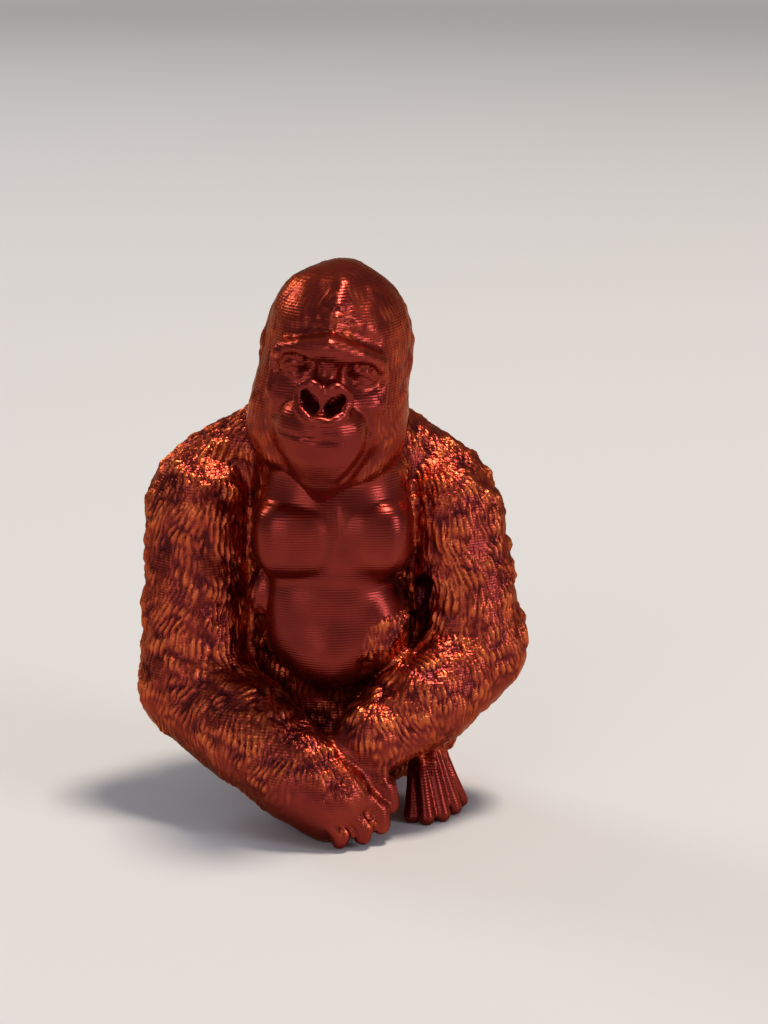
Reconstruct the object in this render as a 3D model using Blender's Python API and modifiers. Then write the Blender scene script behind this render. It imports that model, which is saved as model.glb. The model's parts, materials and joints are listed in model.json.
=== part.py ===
"""Seated gorilla figurine, a one-piece 3-D print about 60 mm tall.

The body is built the way a sculptor roughs out clay. Simple masses (balls, tapered limbs) are
placed for the head, trunk, arms and legs, a voxel remesh fuses them into one skin, and the skin
is then drawn onto the smooth blend of the same masses. Shallow locks of fur are raised on it.

The tables are in millimetres in the figure's own frame: +X is to the right of someone facing the
gorilla, which looks along -Y, and +Z is up from the table. The finished mesh is in metres, with
its origin on the table at the middle of its bounding box.
"""
import math

import bmesh
import bpy
import numpy as np
from mathutils import Matrix, Vector

for old in list(bpy.data.objects):
    bpy.data.objects.remove(old, do_unlink=True)

MM = 0.001
PRINT_HEIGHT = 60.2

# Skin: fineness of the remeshes, evening of the skin, the flat underside, final face count
ROUGH_VOXEL = 0.7
SCOOP_VOXEL = 0.25
FINE_VOXEL = 0.38
EVEN_SHARE = 0.5
EVEN_ROUNDS = 2
BASE_ROUNDING = 0.25
BASE_SNAP = 0.12
FACE_BUDGET = 11800
DETAIL_HOLD = 1.3
DETAIL_WEIGHT = 0.5

# Head
HEAD_AT = (0.25, -3.0, 48.0)
HEAD_LEAN = 7.5
HEAD_YAW = -4.0
SKULL_WIDTH = 15.0
SKULL_DEPTH = 16.8
CREST_TOP = 11.7
CREST_THICK = 1.5
FACE_WIDTH = 12.8
CHEEK_FUR_WIDTH = 16.6
NAPE_WIDTH = 14.4
BROW_WIDTH = 9.6
BROW_Z = 4.4
BROW_THICK = 1.3
EYE_SPACING = 6.6
EYE_WIDTH = 2.3
EYE_Z = 2.0
EYE_DEPTH = -7.8
NOSE_WIDTH = 5.3
NOSE_RIM = 0.5
NOSTRIL_WIDTH = 1.55
NOSE_Z = -0.45
MUZZLE_WIDTH = 9.8
MUZZLE_FRONT = -12.9
JAW_WIDTH = 8.6
CHIN = (0.7, -6.8, -10.7)
MOUTH_Z = -4.2
MOUTH_WIDTH = 7.8
EAR_HEIGHT = 3.6

# Trunk
PELVIS_WIDTH = 22.8
WAIST_WIDTH = 21.6
RIBS_WIDTH = 24.0
BACK_WIDTH = 27.2
NECK_WIDTH = 16.0
CHEST_WIDTH = 16.8
CHEST_FRONT = -7.8
PEC_LIFT = 0.75
PEC_BOTTOM = 26.9
PEC_TOP = 35.3
CLEAVAGE_X = 0.5
BELLY_WIDTH = 13.6
BELLY_AT = (-0.5, -1.0, 22.0)
TRAP_THICK = 4.2

# Arms: joint centres and limb radii
SHOULDER_R = (-13.9, 4.2, 33.0)
ELBOW_R = (-14.9, 0.5, 13.9)
WRIST_R = (-3.2, -10.2, 6.5)
FIST_R = (0.0, -11.4, 4.2)
UPPER_ARM_R = 5.5
FOREARM_R = 5.6
WRIST_RADIUS_R = 4.8
SHOULDER_L = (12.0, 4.2, 32.2)
ELBOW_L = (15.3, 0.6, 17.8)
WRIST_L = (4.3, -8.5, 10.2)
UPPER_ARM_L = 5.3
FOREARM_L = 5.15
WRIST_RADIUS_L = 3.9
FINGER_RADIUS = 1.1

# Legs
HIP_SPREAD = 6.5
KNEE_L = (10.1, -0.4, 9.8)
ANKLE_L = (10.2, -1.6, 6.2)
KNEE_R = (-9.3, -0.8, 8.8)
FOOT_R = (3.0, -6.0, 1.7)
THIGH = 5.0
TOE_RADIUS = 0.85

# Fur: lock width, lock length and height, and the broad lumps under it
LOCK_WIDTH = 2.3
LOCK_LENGTH = 1.4
LOCK_HEIGHT = 0.45
LUMP_WIDTH = 2.9
LUMP_HEIGHT = 0.14
FUR_WAVES = 70
CROWN_FUR = 0.18
HEAD_FUR = 0.4


def blend(a, b, width):
    """The smaller of two distances, rounded where they cross over the given width."""
    if width <= 0:
        return np.minimum(a, b)
    h = np.clip(0.5 + 0.5 * (b - a) / width, 0, 1)
    return b * (1 - h) + a * h - width * h * (1 - h)


def ramp(x, low, high):
    """0 below low, 1 above high, smooth between."""
    t = np.clip((x - low) / (high - low), 0, 1)
    return t * t * (3 - 2 * t)


def curve(points, steps=3):
    """Catmull-Rom curve: between points b and c, half of 2b + (c - a)t + (2a - 5b + 4c - d)t^2 +
    (3b - a - 3c + d)t^3, where a and d are the points before and after."""
    p = np.array(points, float)
    padded = np.vstack([2 * p[0] - p[1], p, 2 * p[-1] - p[-2]])
    a, b, c, d = (padded[first : len(padded) - 3 + first, None] for first in range(4))
    t = np.linspace(0, 1, steps, endpoint=False)[None, :, None]
    between = b + ((c - a) * t + (2 * a - 5 * b + 4 * c - d) * t**2 + (3 * b - a - 3 * c + d) * t**3) / 2
    return np.vstack([between.reshape(-1, p.shape[1]), p[-1:]])


class Ball:
    """An ellipsoid, squarer when its power is over 2."""

    def __init__(self, centre, radii, blend_width=1.0, power=2.0):
        self.centre = np.array(centre, float)
        self.radii = np.array(radii, float)
        self.blend_width = blend_width
        self.power = power
        self.reach = self.radii.max() * (1.0 if power <= 2 else 1.25)
        self.frame = np.eye(3)

    def distance(self, points):
        a = np.maximum(np.abs((points - self.centre) @ self.frame) / self.radii, 1e-4)
        n = self.power
        if n == 2:
            f = np.linalg.norm(a, axis=1)
            slope = np.linalg.norm(a / self.radii, axis=1) / f
        else:
            f = (a**n).sum(1) ** (1 / n)
            slope = np.linalg.norm(a ** (n - 1) / self.radii, axis=1) * f ** (1 - n)
        return np.maximum((f - 1) / slope, -self.radii.min())

    def add_to(self, bm):
        place = Matrix.Translation(Vector(self.centre)) @ Matrix(self.frame.tolist()).to_4x4()
        place = place @ Matrix.Diagonal((*self.radii, 1.0))
        bmesh.ops.create_uvsphere(bm, u_segments=32, v_segments=18, radius=1.0, matrix=place)

    def moved(self, turn, shift):
        other = Ball(turn @ self.centre + shift, self.radii, self.blend_width, self.power)
        other.frame = turn @ self.frame
        return other

    def mirrored(self):
        return Ball(self.centre * [-1, 1, 1], self.radii, self.blend_width, self.power)


class Limb:
    """Tapered round segments through a row of points, with a radius at each point."""

    def __init__(self, points, radii, blend_width=1.0):
        self.points = np.array(points, float)
        self.radii = np.broadcast_to(np.array(radii, float), (len(self.points),)).copy()
        self.blend_width = blend_width
        self.centre = (self.points.max(0) + self.points.min(0)) / 2
        self.reach = np.linalg.norm(self.points - self.centre, axis=1).max() + self.radii.max()

    def distance(self, points):
        best = np.full(len(points), 1e9)
        ends = zip(self.points[:-1], self.points[1:], self.radii[:-1], self.radii[1:])
        for a, b, ra, rb in ends:
            ab = b - a
            t = np.clip(((points - a) @ ab) / (ab @ ab), 0, 1)
            d = np.linalg.norm(points - a - t[:, None] * ab, axis=1) - (ra + t * (rb - ra))
            best = np.minimum(best, d)
        return best

    def add_to(self, bm):
        for point, radius in zip(self.points, self.radii):
            place = Matrix.Translation(Vector(point))
            bmesh.ops.create_uvsphere(bm, u_segments=20, v_segments=12, radius=radius, matrix=place)
        ends = zip(self.points[:-1], self.points[1:], self.radii[:-1], self.radii[1:])
        for a, b, ra, rb in ends:
            axis = Vector(b - a)
            turn = axis.to_track_quat("Z", "Y").to_matrix().to_4x4()
            place = Matrix.Translation(Vector((a + b) / 2)) @ turn
            bmesh.ops.create_cone(bm, cap_ends=True, segments=20, radius1=ra, radius2=rb,
                                  depth=axis.length, matrix=place)

    def moved(self, turn, shift):
        return Limb(self.points @ turn.T + shift, self.radii, self.blend_width)

    def mirrored(self):
        return Limb(self.points * [-1, 1, 1], self.radii, self.blend_width)


class Hollow:
    """A ball or limb that is scooped out instead of added."""

    def __init__(self, shape, blend_width=0.5):
        self.shape = shape
        self.blend_width = blend_width

    def moved(self, turn, shift):
        return Hollow(self.shape.moved(turn, shift), self.blend_width)

    def mirrored(self):
        return Hollow(self.shape.mirrored(), self.blend_width)


class Line:
    """A line drawn on the skin from the front: a groove, or a ridge when its depth is negative."""

    def __init__(self, points, width, depth, view=(0.0, 1.0, 0.0)):
        self.points = curve(points) if len(points) > 2 else np.array(points, float)
        self.width = width
        self.depth = depth
        self.view = np.array(view, float)

    def flattened(self, points):
        return points - 0.75 * (points @ self.view)[..., None] * self.view

    def cut(self, points):
        margin = 12 * self.width
        low = self.points.min(0) - margin
        high = self.points.max(0) + margin
        near = np.all((points > low) & (points < high), axis=1)
        seen = self.flattened(points[near])
        path = self.flattened(self.points)
        best = np.full(len(seen), 1e9)
        for a, b in zip(path[:-1], path[1:]):
            ab = b - a
            t = np.clip(((seen - a) @ ab) / (ab @ ab), 0, 1)
            best = np.minimum(best, np.linalg.norm(seen - a - t[:, None] * ab, axis=1))
        out = np.zeros(len(points))
        out[near] = self.depth * np.exp(-((best / self.width) ** 2))
        return out

    def moved(self, turn, shift):
        return self.like(self.points @ turn.T + shift, turn @ self.view)

    def mirrored(self):
        return self.like(self.points * [-1, 1, 1], self.view * [-1, 1, 1])

    def like(self, points, view):
        other = Line(points[:2], self.width, self.depth, view)
        other.points = points
        return other


def bent(path, radii, blend_width):
    """A limb along a smooth curve through the points, with radii that change as smoothly."""
    radii = np.broadcast_to(np.array(radii, float), (len(path),))
    rows = curve(np.column_stack([path, radii]))
    return Limb(rows[:, :3], rows[:, 3], blend_width)


def both(*shapes):
    """Each shape and its mirror image across the middle plane."""
    out = []
    for shape in shapes:
        out.append(shape)
        out.append(shape.mirrored())
    return out


def skull_shapes():
    """Skull, crown, crest, forehead, face plate, cheek fur, nape, muzzle, jaw and ears."""
    chin = np.array(CHIN)
    skull = SKULL_WIDTH / 2
    deep = SKULL_DEPTH / 2
    crest = CREST_TOP - CREST_THICK
    cheek = CHEEK_FUR_WIDTH / 4
    nape = NAPE_WIDTH / 2
    brow = BROW_WIDTH / 2
    shapes = [Ball((0, 1.0, 3.6), (skull, deep, 7.9))]
    shapes += [Ball((-0.2, -0.6, 6.2), (skull * 0.81, deep * 0.81, CREST_TOP - 6.5), 2.0)]
    top = [(0.1, -5.0, crest - 2.2), (0, -4.0, crest - 0.9), (0, -0.5, crest), (0, 4.5, crest - 0.9)]
    shapes += [Limb(top, np.array([0.6, 0.8, 1.0, 1.1]) * CREST_THICK, 1.8)]
    shapes += [Ball((0, -4.0, BROW_Z + 1.0), (brow + 0.6, 5.0, 3.6), 1.6)]
    shapes += [Ball((0, -3.4, 0.4), (FACE_WIDTH / 2, 5.6, 8.0), 1.6)]
    shapes += both(Ball((cheek, -0.6, -3.8), (cheek, 6.0, 6.6), 2.0))
    shapes += [Limb([(0, 4, 2), (0, 5, -8)], [nape, nape * 1.05], 2.5)]
    shapes += [Ball((0.1, MUZZLE_FRONT + 5.7, MOUTH_Z + 0.6), (MUZZLE_WIDTH / 2, 5.7, 3.7), 2.4, 2.2)]
    shapes += [Ball((0.5, chin[1] + 0.8, MOUTH_Z - 1.6), (JAW_WIDTH / 2, 5.4, 4.2), 1.5)]
    for side in (-1, 1):
        hinge = (side * (cheek + 1.8), -1.6, -6.0)
        middle = (chin[0] + side * 3.2, -4.8, -8.6)
        shapes += [Limb([hinge, middle, chin], [1.9, 1.5, 0.7], 1.1)]
    lip = [(0.3, -8.9, MOUTH_Z - 1.5), (0.6, -8.0, MOUTH_Z - 4.0), chin + (0, -0.2, 0.4)]
    shapes += [Limb(lip, [3.4, 2.4, 0.8], 1.2)]
    return shapes


def brow_and_eye_shapes():
    """The brow bar, the rim and hollow of each socket, and the eyeballs."""
    brow = BROW_WIDTH / 2
    eye = EYE_SPACING / 2
    lid = EYE_WIDTH / 2
    bar = [(-brow, -7.6, BROW_Z - 1.0), (-brow * 0.56, -9.3, BROW_Z - 0.1), (0, -9.9, BROW_Z + 0.1),
           (brow * 0.56, -9.3, BROW_Z - 0.1), (brow, -7.6, BROW_Z - 1.0)]
    shapes = [bent(bar, np.array([0.75, 1.0, 1.1, 1.0, 0.75]) * BROW_THICK, 1.1)]
    shapes += both(bent([(brow, -7.4, BROW_Z - 1.0), (brow + 0.8, -6.6, 1.6), (brow + 0.3, -7.0, -0.6)],
                        [0.7, 0.55, 0.7], 1.0))
    shapes += [Limb([(0, -9.1, BROW_Z - 0.4), (0, -9.8, 1.4), (0, -10.6, 0.2)], [1.2, 1.1, 1.5])]
    shapes += both(Ball((eye + 0.7, -7.2, EYE_Z - 2.8), (1.8, 1.5, 1.4), 1.6))
    shapes += both(Hollow(Ball((eye, EYE_DEPTH - 2.0, EYE_Z), (lid + 1.0, 2.2, 1.6)), 0.8))
    shapes += both(Ball((eye, EYE_DEPTH + 0.1, EYE_Z - 0.15), (lid * 0.9, 1.0, 0.85), 0.2))
    upper = [(eye - 1.4, EYE_DEPTH - 0.1, EYE_Z - 0.2), (eye - 0.6, EYE_DEPTH - 0.75, EYE_Z + 0.45),
             (eye + 0.4, EYE_DEPTH - 0.75, EYE_Z + 0.5), (eye + 1.35, EYE_DEPTH + 0.2, EYE_Z - 0.2)]
    lower = [(eye - 1.3, EYE_DEPTH - 0.1, EYE_Z - 0.5), (eye, EYE_DEPTH - 0.7, EYE_Z - 0.85),
             (eye + 1.3, EYE_DEPTH + 0.25, EYE_Z - 0.45)]
    shapes += both(bent(upper, 0.44, 0.2), bent(lower, 0.34, 0.2))
    return shapes


def nose_shapes():
    """The wings of the nose, the heart-shaped rim, and the two nostrils."""
    nose = NOSE_WIDTH / 2
    hole = NOSTRIL_WIDTH / 2
    low = np.array([0, 0, NOSE_Z])
    shapes = both(Ball(low + (nose * 0.46, -10.7, 0.1), (nose * 0.58, 1.5, 1.8), 0.6))
    shapes += both(Hollow(Ball(low + (nose * 0.48, -13.2, -0.2), (nose * 0.4, 1.9, 1.15)), 0.3))
    heart = np.array([(0, -11.4, 0.8), (nose * 0.25, -11.7, 1.45), (nose * 0.57, -11.6, 1.65),
                      (nose * 0.9, -11.1, 1.1), (nose, -10.9, 0.2), (nose * 0.9, -11.5, -0.85),
                      (nose * 0.57, -12.3, -1.55), (nose * 0.25, -12.7, -1.8), (0, -12.8, -1.8)])
    thick = NOSE_RIM * np.array([0.8, 1.05, 1.1, 1, 1, 1.1, 1.2, 1.2, 1.1])
    shapes += both(bent(heart + low, thick, 0.2))
    for out, up, thick in ((0.66, 0.5, 0.85), (0.5, 0.0, 1.0), (0.33, -0.6, 0.8)):
        mouth = low + (nose * out, -13.6, up - 0.3)
        depth = low + (nose * out * 0.85, -10.2, up + 0.3)
        shapes += both(Hollow(Limb([mouth, depth], [hole * thick, hole * thick * 0.8], 0), 0.12))
    return shapes


def face_lines():
    """Mouth, folds beside the muzzle, rings round the eyes, and the ridged, wrinkled forehead."""
    eye = EYE_SPACING / 2
    nose = NOSE_WIDTH / 2
    mouth = MOUTH_WIDTH / 2
    front = MUZZLE_FRONT
    lines = [Line([(-mouth, front + 3.1, MOUTH_Z), (-mouth * 0.56, front + 1.2, MOUTH_Z + 0.1),
                   (0, front + 0.3, MOUTH_Z + 0.05), (mouth * 0.56, front + 1.2, MOUTH_Z + 0.1),
                   (mouth, front + 3.1, MOUTH_Z)], 0.22, 0.38)]
    lines += both(Line([(nose + 0.3, -11.0, -1.0), (4.2, -9.6, -1.7), (4.9, -8.8, -3.2)], 0.32, 0.28))
    lines += [Line([(4.9, -8.8, -3.4), (4.5, -9.2, -6.0), (2.9, -9.0, -8.6)], 0.32, 0.25)]
    lip = [(3.7, -10.4, -2.6), (4.1, -10.0, -4.2), (3.5, -10.4, -6.4), (2.2, -9.6, -8.4)]
    lines += [Line(lip, 0.36, -0.25)]
    lines += both(Line([(eye - 1.7, -9.0, EYE_Z - 0.9), (eye - 0.3, -8.8, EYE_Z - 1.8),
                        (eye + 1.5, -8.0, EYE_Z - 1.3), (eye + 2.2, -7.2, EYE_Z + 0.2)], 0.28, 0.18))
    lines += both(Line([(eye - 1.9, -9.0, EYE_Z - 1.7), (eye - 0.2, -8.6, EYE_Z - 2.7),
                        (eye + 2.2, -7.6, EYE_Z - 1.9)], 0.26, 0.2))
    lines += [Line([(0.1, -3.5, 10.4), (0, -6.4, 8.8), (-0.1, -8.4, 6.9), (0, -9.2, 5.2)], 1.1, -0.5)]
    lines += both(Line([(2.3, -4.2, 9.6), (2.4, -6.8, 7.8), (2.5, -8.4, 6.0)], 0.8, 0.14))
    for level, half_width in ((7.4, 1.5), (6.2, 1.7)):
        wrinkle = [(-half_width, -7.6, level + 0.1), (0, -8.0, level - 0.15),
                   (half_width, -7.6, level + 0.2)]
        lines += [Line(wrinkle, 0.4, 0.24)]
    lines += both(Line([(0.4, -10.0, BROW_Z - 0.9), (0.9, -9.6, BROW_Z + 0.9)], 0.3, 0.3))
    return lines


def head_shapes():
    """The whole head in its own frame; the ears come after the nose."""
    ears = both(Ball((SKULL_WIDTH / 2 - 0.4, 0.6, EYE_Z + 0.2), (0.9, 1.5, EAR_HEIGHT / 2), 0.5))
    return skull_shapes() + brow_and_eye_shapes() + nose_shapes() + ears + face_lines()


def trunk_shapes():
    """Pelvis, waist, ribs, back, shoulder muscles, neck, chest plates, belly and flank."""
    shoulder_r = np.array(SHOULDER_R)
    shoulder_l = np.array(SHOULDER_L)
    belly = np.array(BELLY_AT)
    chest = CHEST_WIDTH / 2
    lift = CHEST_FRONT - PEC_LIFT
    pec_z = (PEC_TOP + PEC_BOTTOM) / 2
    pec_h = (PEC_TOP - PEC_BOTTOM) / 2
    left_edge = 0.2 - chest
    right_edge = 0.2 + chest
    pec_r = (CLEAVAGE_X - left_edge) / 2
    pec_l = (right_edge - CLEAVAGE_X) / 2
    shapes = [Ball((0, 7.5, 7.6), (PELVIS_WIDTH / 2, 10.2, 9.0))]
    shapes += [Ball((0, 7.0, 19.0), (WAIST_WIDTH / 2, 9.8, 11.5), 4.0)]
    shapes += [Ball((0, 7.5, 29.0), (RIBS_WIDTH / 2, 9.8, 10.5), 4.0)]
    shapes += [Ball((0, 9.6, 35.0), (BACK_WIDTH / 2, 8.2, 7.8), 4.0)]
    shapes += [Limb([(-5.5, 6, 39.7), shoulder_r + (0.9, 1.3, 3.3)], TRAP_THICK, 3.0)]
    shapes += [Limb([(5.0, 6, 38.1), shoulder_l + (0.4, 1.3, 2.4)], TRAP_THICK, 3.0)]
    shapes += [Limb([(0, 6.5, 37), (0, 3.0, 44)], [NECK_WIDTH / 2, NECK_WIDTH / 2 - 0.6], 3.0)]
    shapes += [Ball((0.2, CHEST_FRONT + 8.3, 31.0), (chest, 8.3, 6.0), 1.5, 3.0)]
    shapes += [Ball((0.2, CHEST_FRONT + 8.5, 35.8), (chest - 0.6, 7.6, 6.0), 1.5, 2.4)]
    shapes += [Ball(belly + (0.1, 0, 0.6), (BELLY_WIDTH / 2, 6.2, 7.2), 1.2, 2.7)]
    shapes += [Ball(belly + (0.4, -2.0, -3.6), (BELLY_WIDTH / 2 - 2.5, 4.7, 4.3), 2.0)]
    shapes += [Ball(belly + (-6.7, -0.6, 2.4), (1.7, 2.4, 2.8), 0.7)]
    plate_r = ((left_edge + CLEAVAGE_X) / 2, lift + 4.7, pec_z)
    plate_l = ((right_edge + CLEAVAGE_X) / 2, lift + 5.1, pec_z + 0.1)
    shapes += [Ball(plate_r, (pec_r, 4.7, pec_h), 0.3, 3.0)]
    shapes += [Ball(plate_l, (pec_l - 0.1, 4.7, pec_h), 0.3, 3.0)]
    shapes += [Line([(CLEAVAGE_X + 0.1, lift, PEC_TOP - 0.6), (CLEAVAGE_X + 0.3, lift, pec_z),
                     (CLEAVAGE_X - 0.4, lift, PEC_BOTTOM + 1.0)], 0.3, 0.4)]
    shapes += [Line([(8.8, lift, 33.4), (7.4, lift, 28.8), (5.7, lift, 27.2)], 0.4, 0.35)]
    shapes += [Ball(belly + (5.1, -0.6, -1.2), (3.6, 5.3, 5.8))]
    ridge = belly + np.array([(7.5, -3.6, 5.2), (8.6, -3.0, 2.0), (8.0, -4.0, -0.5), (6.6, -5.0, -2.6)])
    shapes += [Line(ridge, 0.5, -0.5)]
    gap = shoulder_l + np.array([(-2.8, -8.2, -5.6), (-2.1, -4.7, -8.2), (-2.6, -5.2, -11.8)])
    shapes += [Hollow(Limb(gap, 1.5, 0), 0.4)]
    armpit = shoulder_r + np.array([(6.1, -8.0, 6.2), (5.7, -5.8, 3.3), (4.9, -6.2, 0.4)])
    shapes += [Hollow(Limb(armpit, 1.15, 0), 0.4)]
    return shapes


def fist_shapes():
    """The right fist: its block and four bent fingers, each from knuckle to joint to tip."""
    fist_r = np.array(FIST_R)
    shapes = [Ball(fist_r + (-0.1, 0.2, 0.1), (4.6, 3.8, 4.5))]
    fingers = (
        ((2.9, 0.4, 3.2), (5.7, 0.4, 1.3), (6.1, 0.2, -0.5), 1.12),
        ((2.4, -1.2, 1.6), (5.0, -1.0, -0.6), (5.2, -1.3, -2.2), 1.08),
        ((1.2, -2.4, 0.4), (3.4, -2.6, -1.9), (3.3, -2.7, -2.9), 1.0),
        ((-0.6, -2.9, -0.6), (1.1, -3.5, -2.6), (0.9, -3.4, -3.2), 0.9),
    )
    for knuckle, joint, tip, thick in fingers:
        path = [fist_r + knuckle, fist_r + joint, fist_r + tip]
        shapes += [Limb(path, np.array([0.95, 1.0, 0.85]) * FINGER_RADIUS * thick, 0.2)]
    for start, end in (((2.2, -1.6, 4.4), (5.4, -0.9, 0.4)), ((1.2, -2.8, 3.2), (4.1, -2.2, -1.0)),
                       ((-0.6, -3.4, 1.8), (2.0, -3.5, -1.6))):
        shapes += [Line([fist_r + start, fist_r + end], 0.34, 0.28)]
    return shapes


def right_arm_shapes():
    """The arm on the left of the picture, from shoulder to the fist on the ground."""
    shoulder_r = np.array(SHOULDER_R)
    elbow_r = np.array(ELBOW_R)
    wrist_r = np.array(WRIST_R)
    fist_r = np.array(FIST_R)
    half = (shoulder_r + elbow_r) / 2
    mid = (elbow_r + wrist_r) / 2
    shapes = [Ball(shoulder_r, (UPPER_ARM_R + 0.1, UPPER_ARM_R + 0.7, UPPER_ARM_R + 0.5))]
    shapes += [Limb([shoulder_r + (-0.5, -1.0, -2.0), half + (-0.4, -0.5, -1.5), elbow_r + (0, 0.1, 1.1)],
                    [UPPER_ARM_R, UPPER_ARM_R + 0.1, FOREARM_R], 2.5)]
    shapes += [Ball(elbow_r + (-3.4, 1.7, -1.0), (2.5, 3.0, 3.0), 1.2)]
    shapes += [Limb([elbow_r + (-0.1, -0.1, -1.1), mid + (0.45, -0.95, -0.6), wrist_r + (0, 0, 0.1)],
                    [FOREARM_R, FOREARM_R, WRIST_RADIUS_R], 2.0)]
    shapes += [Limb([wrist_r, fist_r + (0.2, -0.2, 0.4)], [WRIST_RADIUS_R, WRIST_RADIUS_R - 0.6], 1.5)]
    return shapes + fist_shapes()


def left_arm_shapes():
    """The arm on the right of the picture, whose hand goes behind the other forearm."""
    shoulder_l = np.array(SHOULDER_L)
    elbow_l = np.array(ELBOW_L)
    wrist_l = np.array(WRIST_L)
    half = (shoulder_l + elbow_l) / 2
    mid = (elbow_l + wrist_l) / 2
    shapes = [Ball(shoulder_l, (UPPER_ARM_L - 0.1, UPPER_ARM_L + 0.7, UPPER_ARM_L + 0.7))]
    shapes += [Limb([shoulder_l + (1.2, -1.0, -1.7), half + (0.3, -0.6, 0.5), elbow_l + (0, 0.2, 0.8)],
                    [UPPER_ARM_L, UPPER_ARM_L + 0.1, UPPER_ARM_L - 0.1], 2.5)]
    shapes += [Limb([elbow_l + (0.2, -0.2, -0.8), mid + (0.2, -1.05, -0.7), wrist_l],
                    [FOREARM_L, FOREARM_L, WRIST_RADIUS_L], 2.0)]
    hand = [wrist_l, wrist_l + (-2.4, -0.8, -1.6)]
    shapes += [Limb(hand, [WRIST_RADIUS_L - 0.1, WRIST_RADIUS_L - 1.2])]
    shapes += [Limb([wrist_l + (-0.7, -1.6, -1.5), wrist_l + (1.1, -2.6, -2.8)],
                    [FINGER_RADIUS * 0.85, FINGER_RADIUS * 0.65], 0.4)]
    return shapes


def leg_shapes():
    """Thighs behind the forearms, the long-toed foot in view, the other foot behind the fist."""
    knee_l = np.array(KNEE_L)
    knee_r = np.array(KNEE_R)
    ankle_l = np.array(ANKLE_L)
    foot_r = np.array(FOOT_R)
    shapes = [Limb([(HIP_SPREAD, 7, 8), knee_l], [THIGH, THIGH * 0.8])]
    shin = [knee_l + (0.2, -0.4, -0.3), ankle_l + (-0.1, 0.2, 0.4)]
    shapes += [Limb(shin, [THIGH * 0.54, THIGH * 0.34], 1.2)]
    shapes += [Limb([ankle_l, ankle_l + (0.9, 0.4, -4.4)], [1.4, 1.3], 0.8)]
    toes = (
        ((-1.5, -0.9, 0.2), (-1.6, -4.7), 1.08),
        ((-0.9, -1.4, 1.0), (-0.1, -5.4), 1.08),
        ((0.1, -1.5, 1.2), (1.6, -4.4), 1.04),
        ((1.0, -1.2, 0.8), (2.9, -2.3), 1.0),
        ((1.8, -0.4, 0.0), (3.7, 0.0), 0.9),
    )
    for root, tip, thick in toes:
        start = ankle_l + root
        end = np.array([ankle_l[0] + tip[0], ankle_l[1] + tip[1], 0.8])
        middle = start * 0.55 + end * 0.45 + (0, -0.35, 0.1)
        shapes += [Limb([start, middle, end], np.array([0.6, 0.68, 1.06]) * TOE_RADIUS * thick, 0.15)]
    shapes += [Limb([(-HIP_SPREAD, 7, 8), knee_r], [THIGH, THIGH * 0.8])]
    shin = [knee_r + (0.3, -0.7, -0.8), foot_r + (-5.0, 2.0, 1.3)]
    shapes += [Limb(shin, [THIGH * 0.64, THIGH * 0.48], 1.5)]
    shapes += [Limb([foot_r + (-5.0, 2.0, 0.9), foot_r], [THIGH * 0.48, THIGH * 0.38])]
    return shapes


def head_turn():
    """The turn of the head: leaned sideways, then turned a little."""
    lean = Matrix.Rotation(math.radians(HEAD_LEAN), 3, "Y")
    yaw = Matrix.Rotation(math.radians(HEAD_YAW), 3, "Z")
    return np.array(yaw @ lean)


HEAD_TURN = head_turn()
BODY = [
    (trunk_shapes(), 0.0),
    ([shape.moved(HEAD_TURN, np.array(HEAD_AT)) for shape in head_shapes()], 0.9),
    (right_arm_shapes(), 0.7),
    (left_arm_shapes(), 0.7),
    (leg_shapes(), 0.5),
]


def region_distance(points, shapes):
    """Signed distance to one region of the body: its shapes blended in the order they are listed."""
    d = np.full(len(points), 50.0)
    for shape in shapes:
        if isinstance(shape, Line):
            d = d + shape.cut(points)
            continue
        solid = shape.shape if isinstance(shape, Hollow) else shape
        gap = np.linalg.norm(points - solid.centre, axis=1) - solid.reach
        near = gap < shape.blend_width + 3.0
        value = solid.distance(points[near])
        if isinstance(shape, Hollow):
            d[near] = -blend(-d[near], value, shape.blend_width)
        else:
            d[near] = blend(d[near], value, shape.blend_width)
            d[~near] = np.minimum(d[~near], gap[~near])
    return d


def body_distance(points):
    """Signed distance to the whole body, cut flat at the table."""
    d = None
    for shapes, width in BODY:
        region = region_distance(points, shapes)
        d = region if d is None else blend(d, region, width)
    return -blend(-d, points[:, 2], BASE_ROUNDING)


def slope(points, step=0.04):
    """Unit outward direction of the distance, from four samples at the corners of a tetrahedron."""
    g = np.zeros_like(points)
    for corner in ((1, 1, 1), (1, -1, -1), (-1, 1, -1), (-1, -1, 1)):
        way = np.array(corner, float)
        g += way * body_distance(points + step * way)[:, None]
    return g / np.maximum(np.linalg.norm(g, axis=1, keepdims=True), 1e-6)


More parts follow.
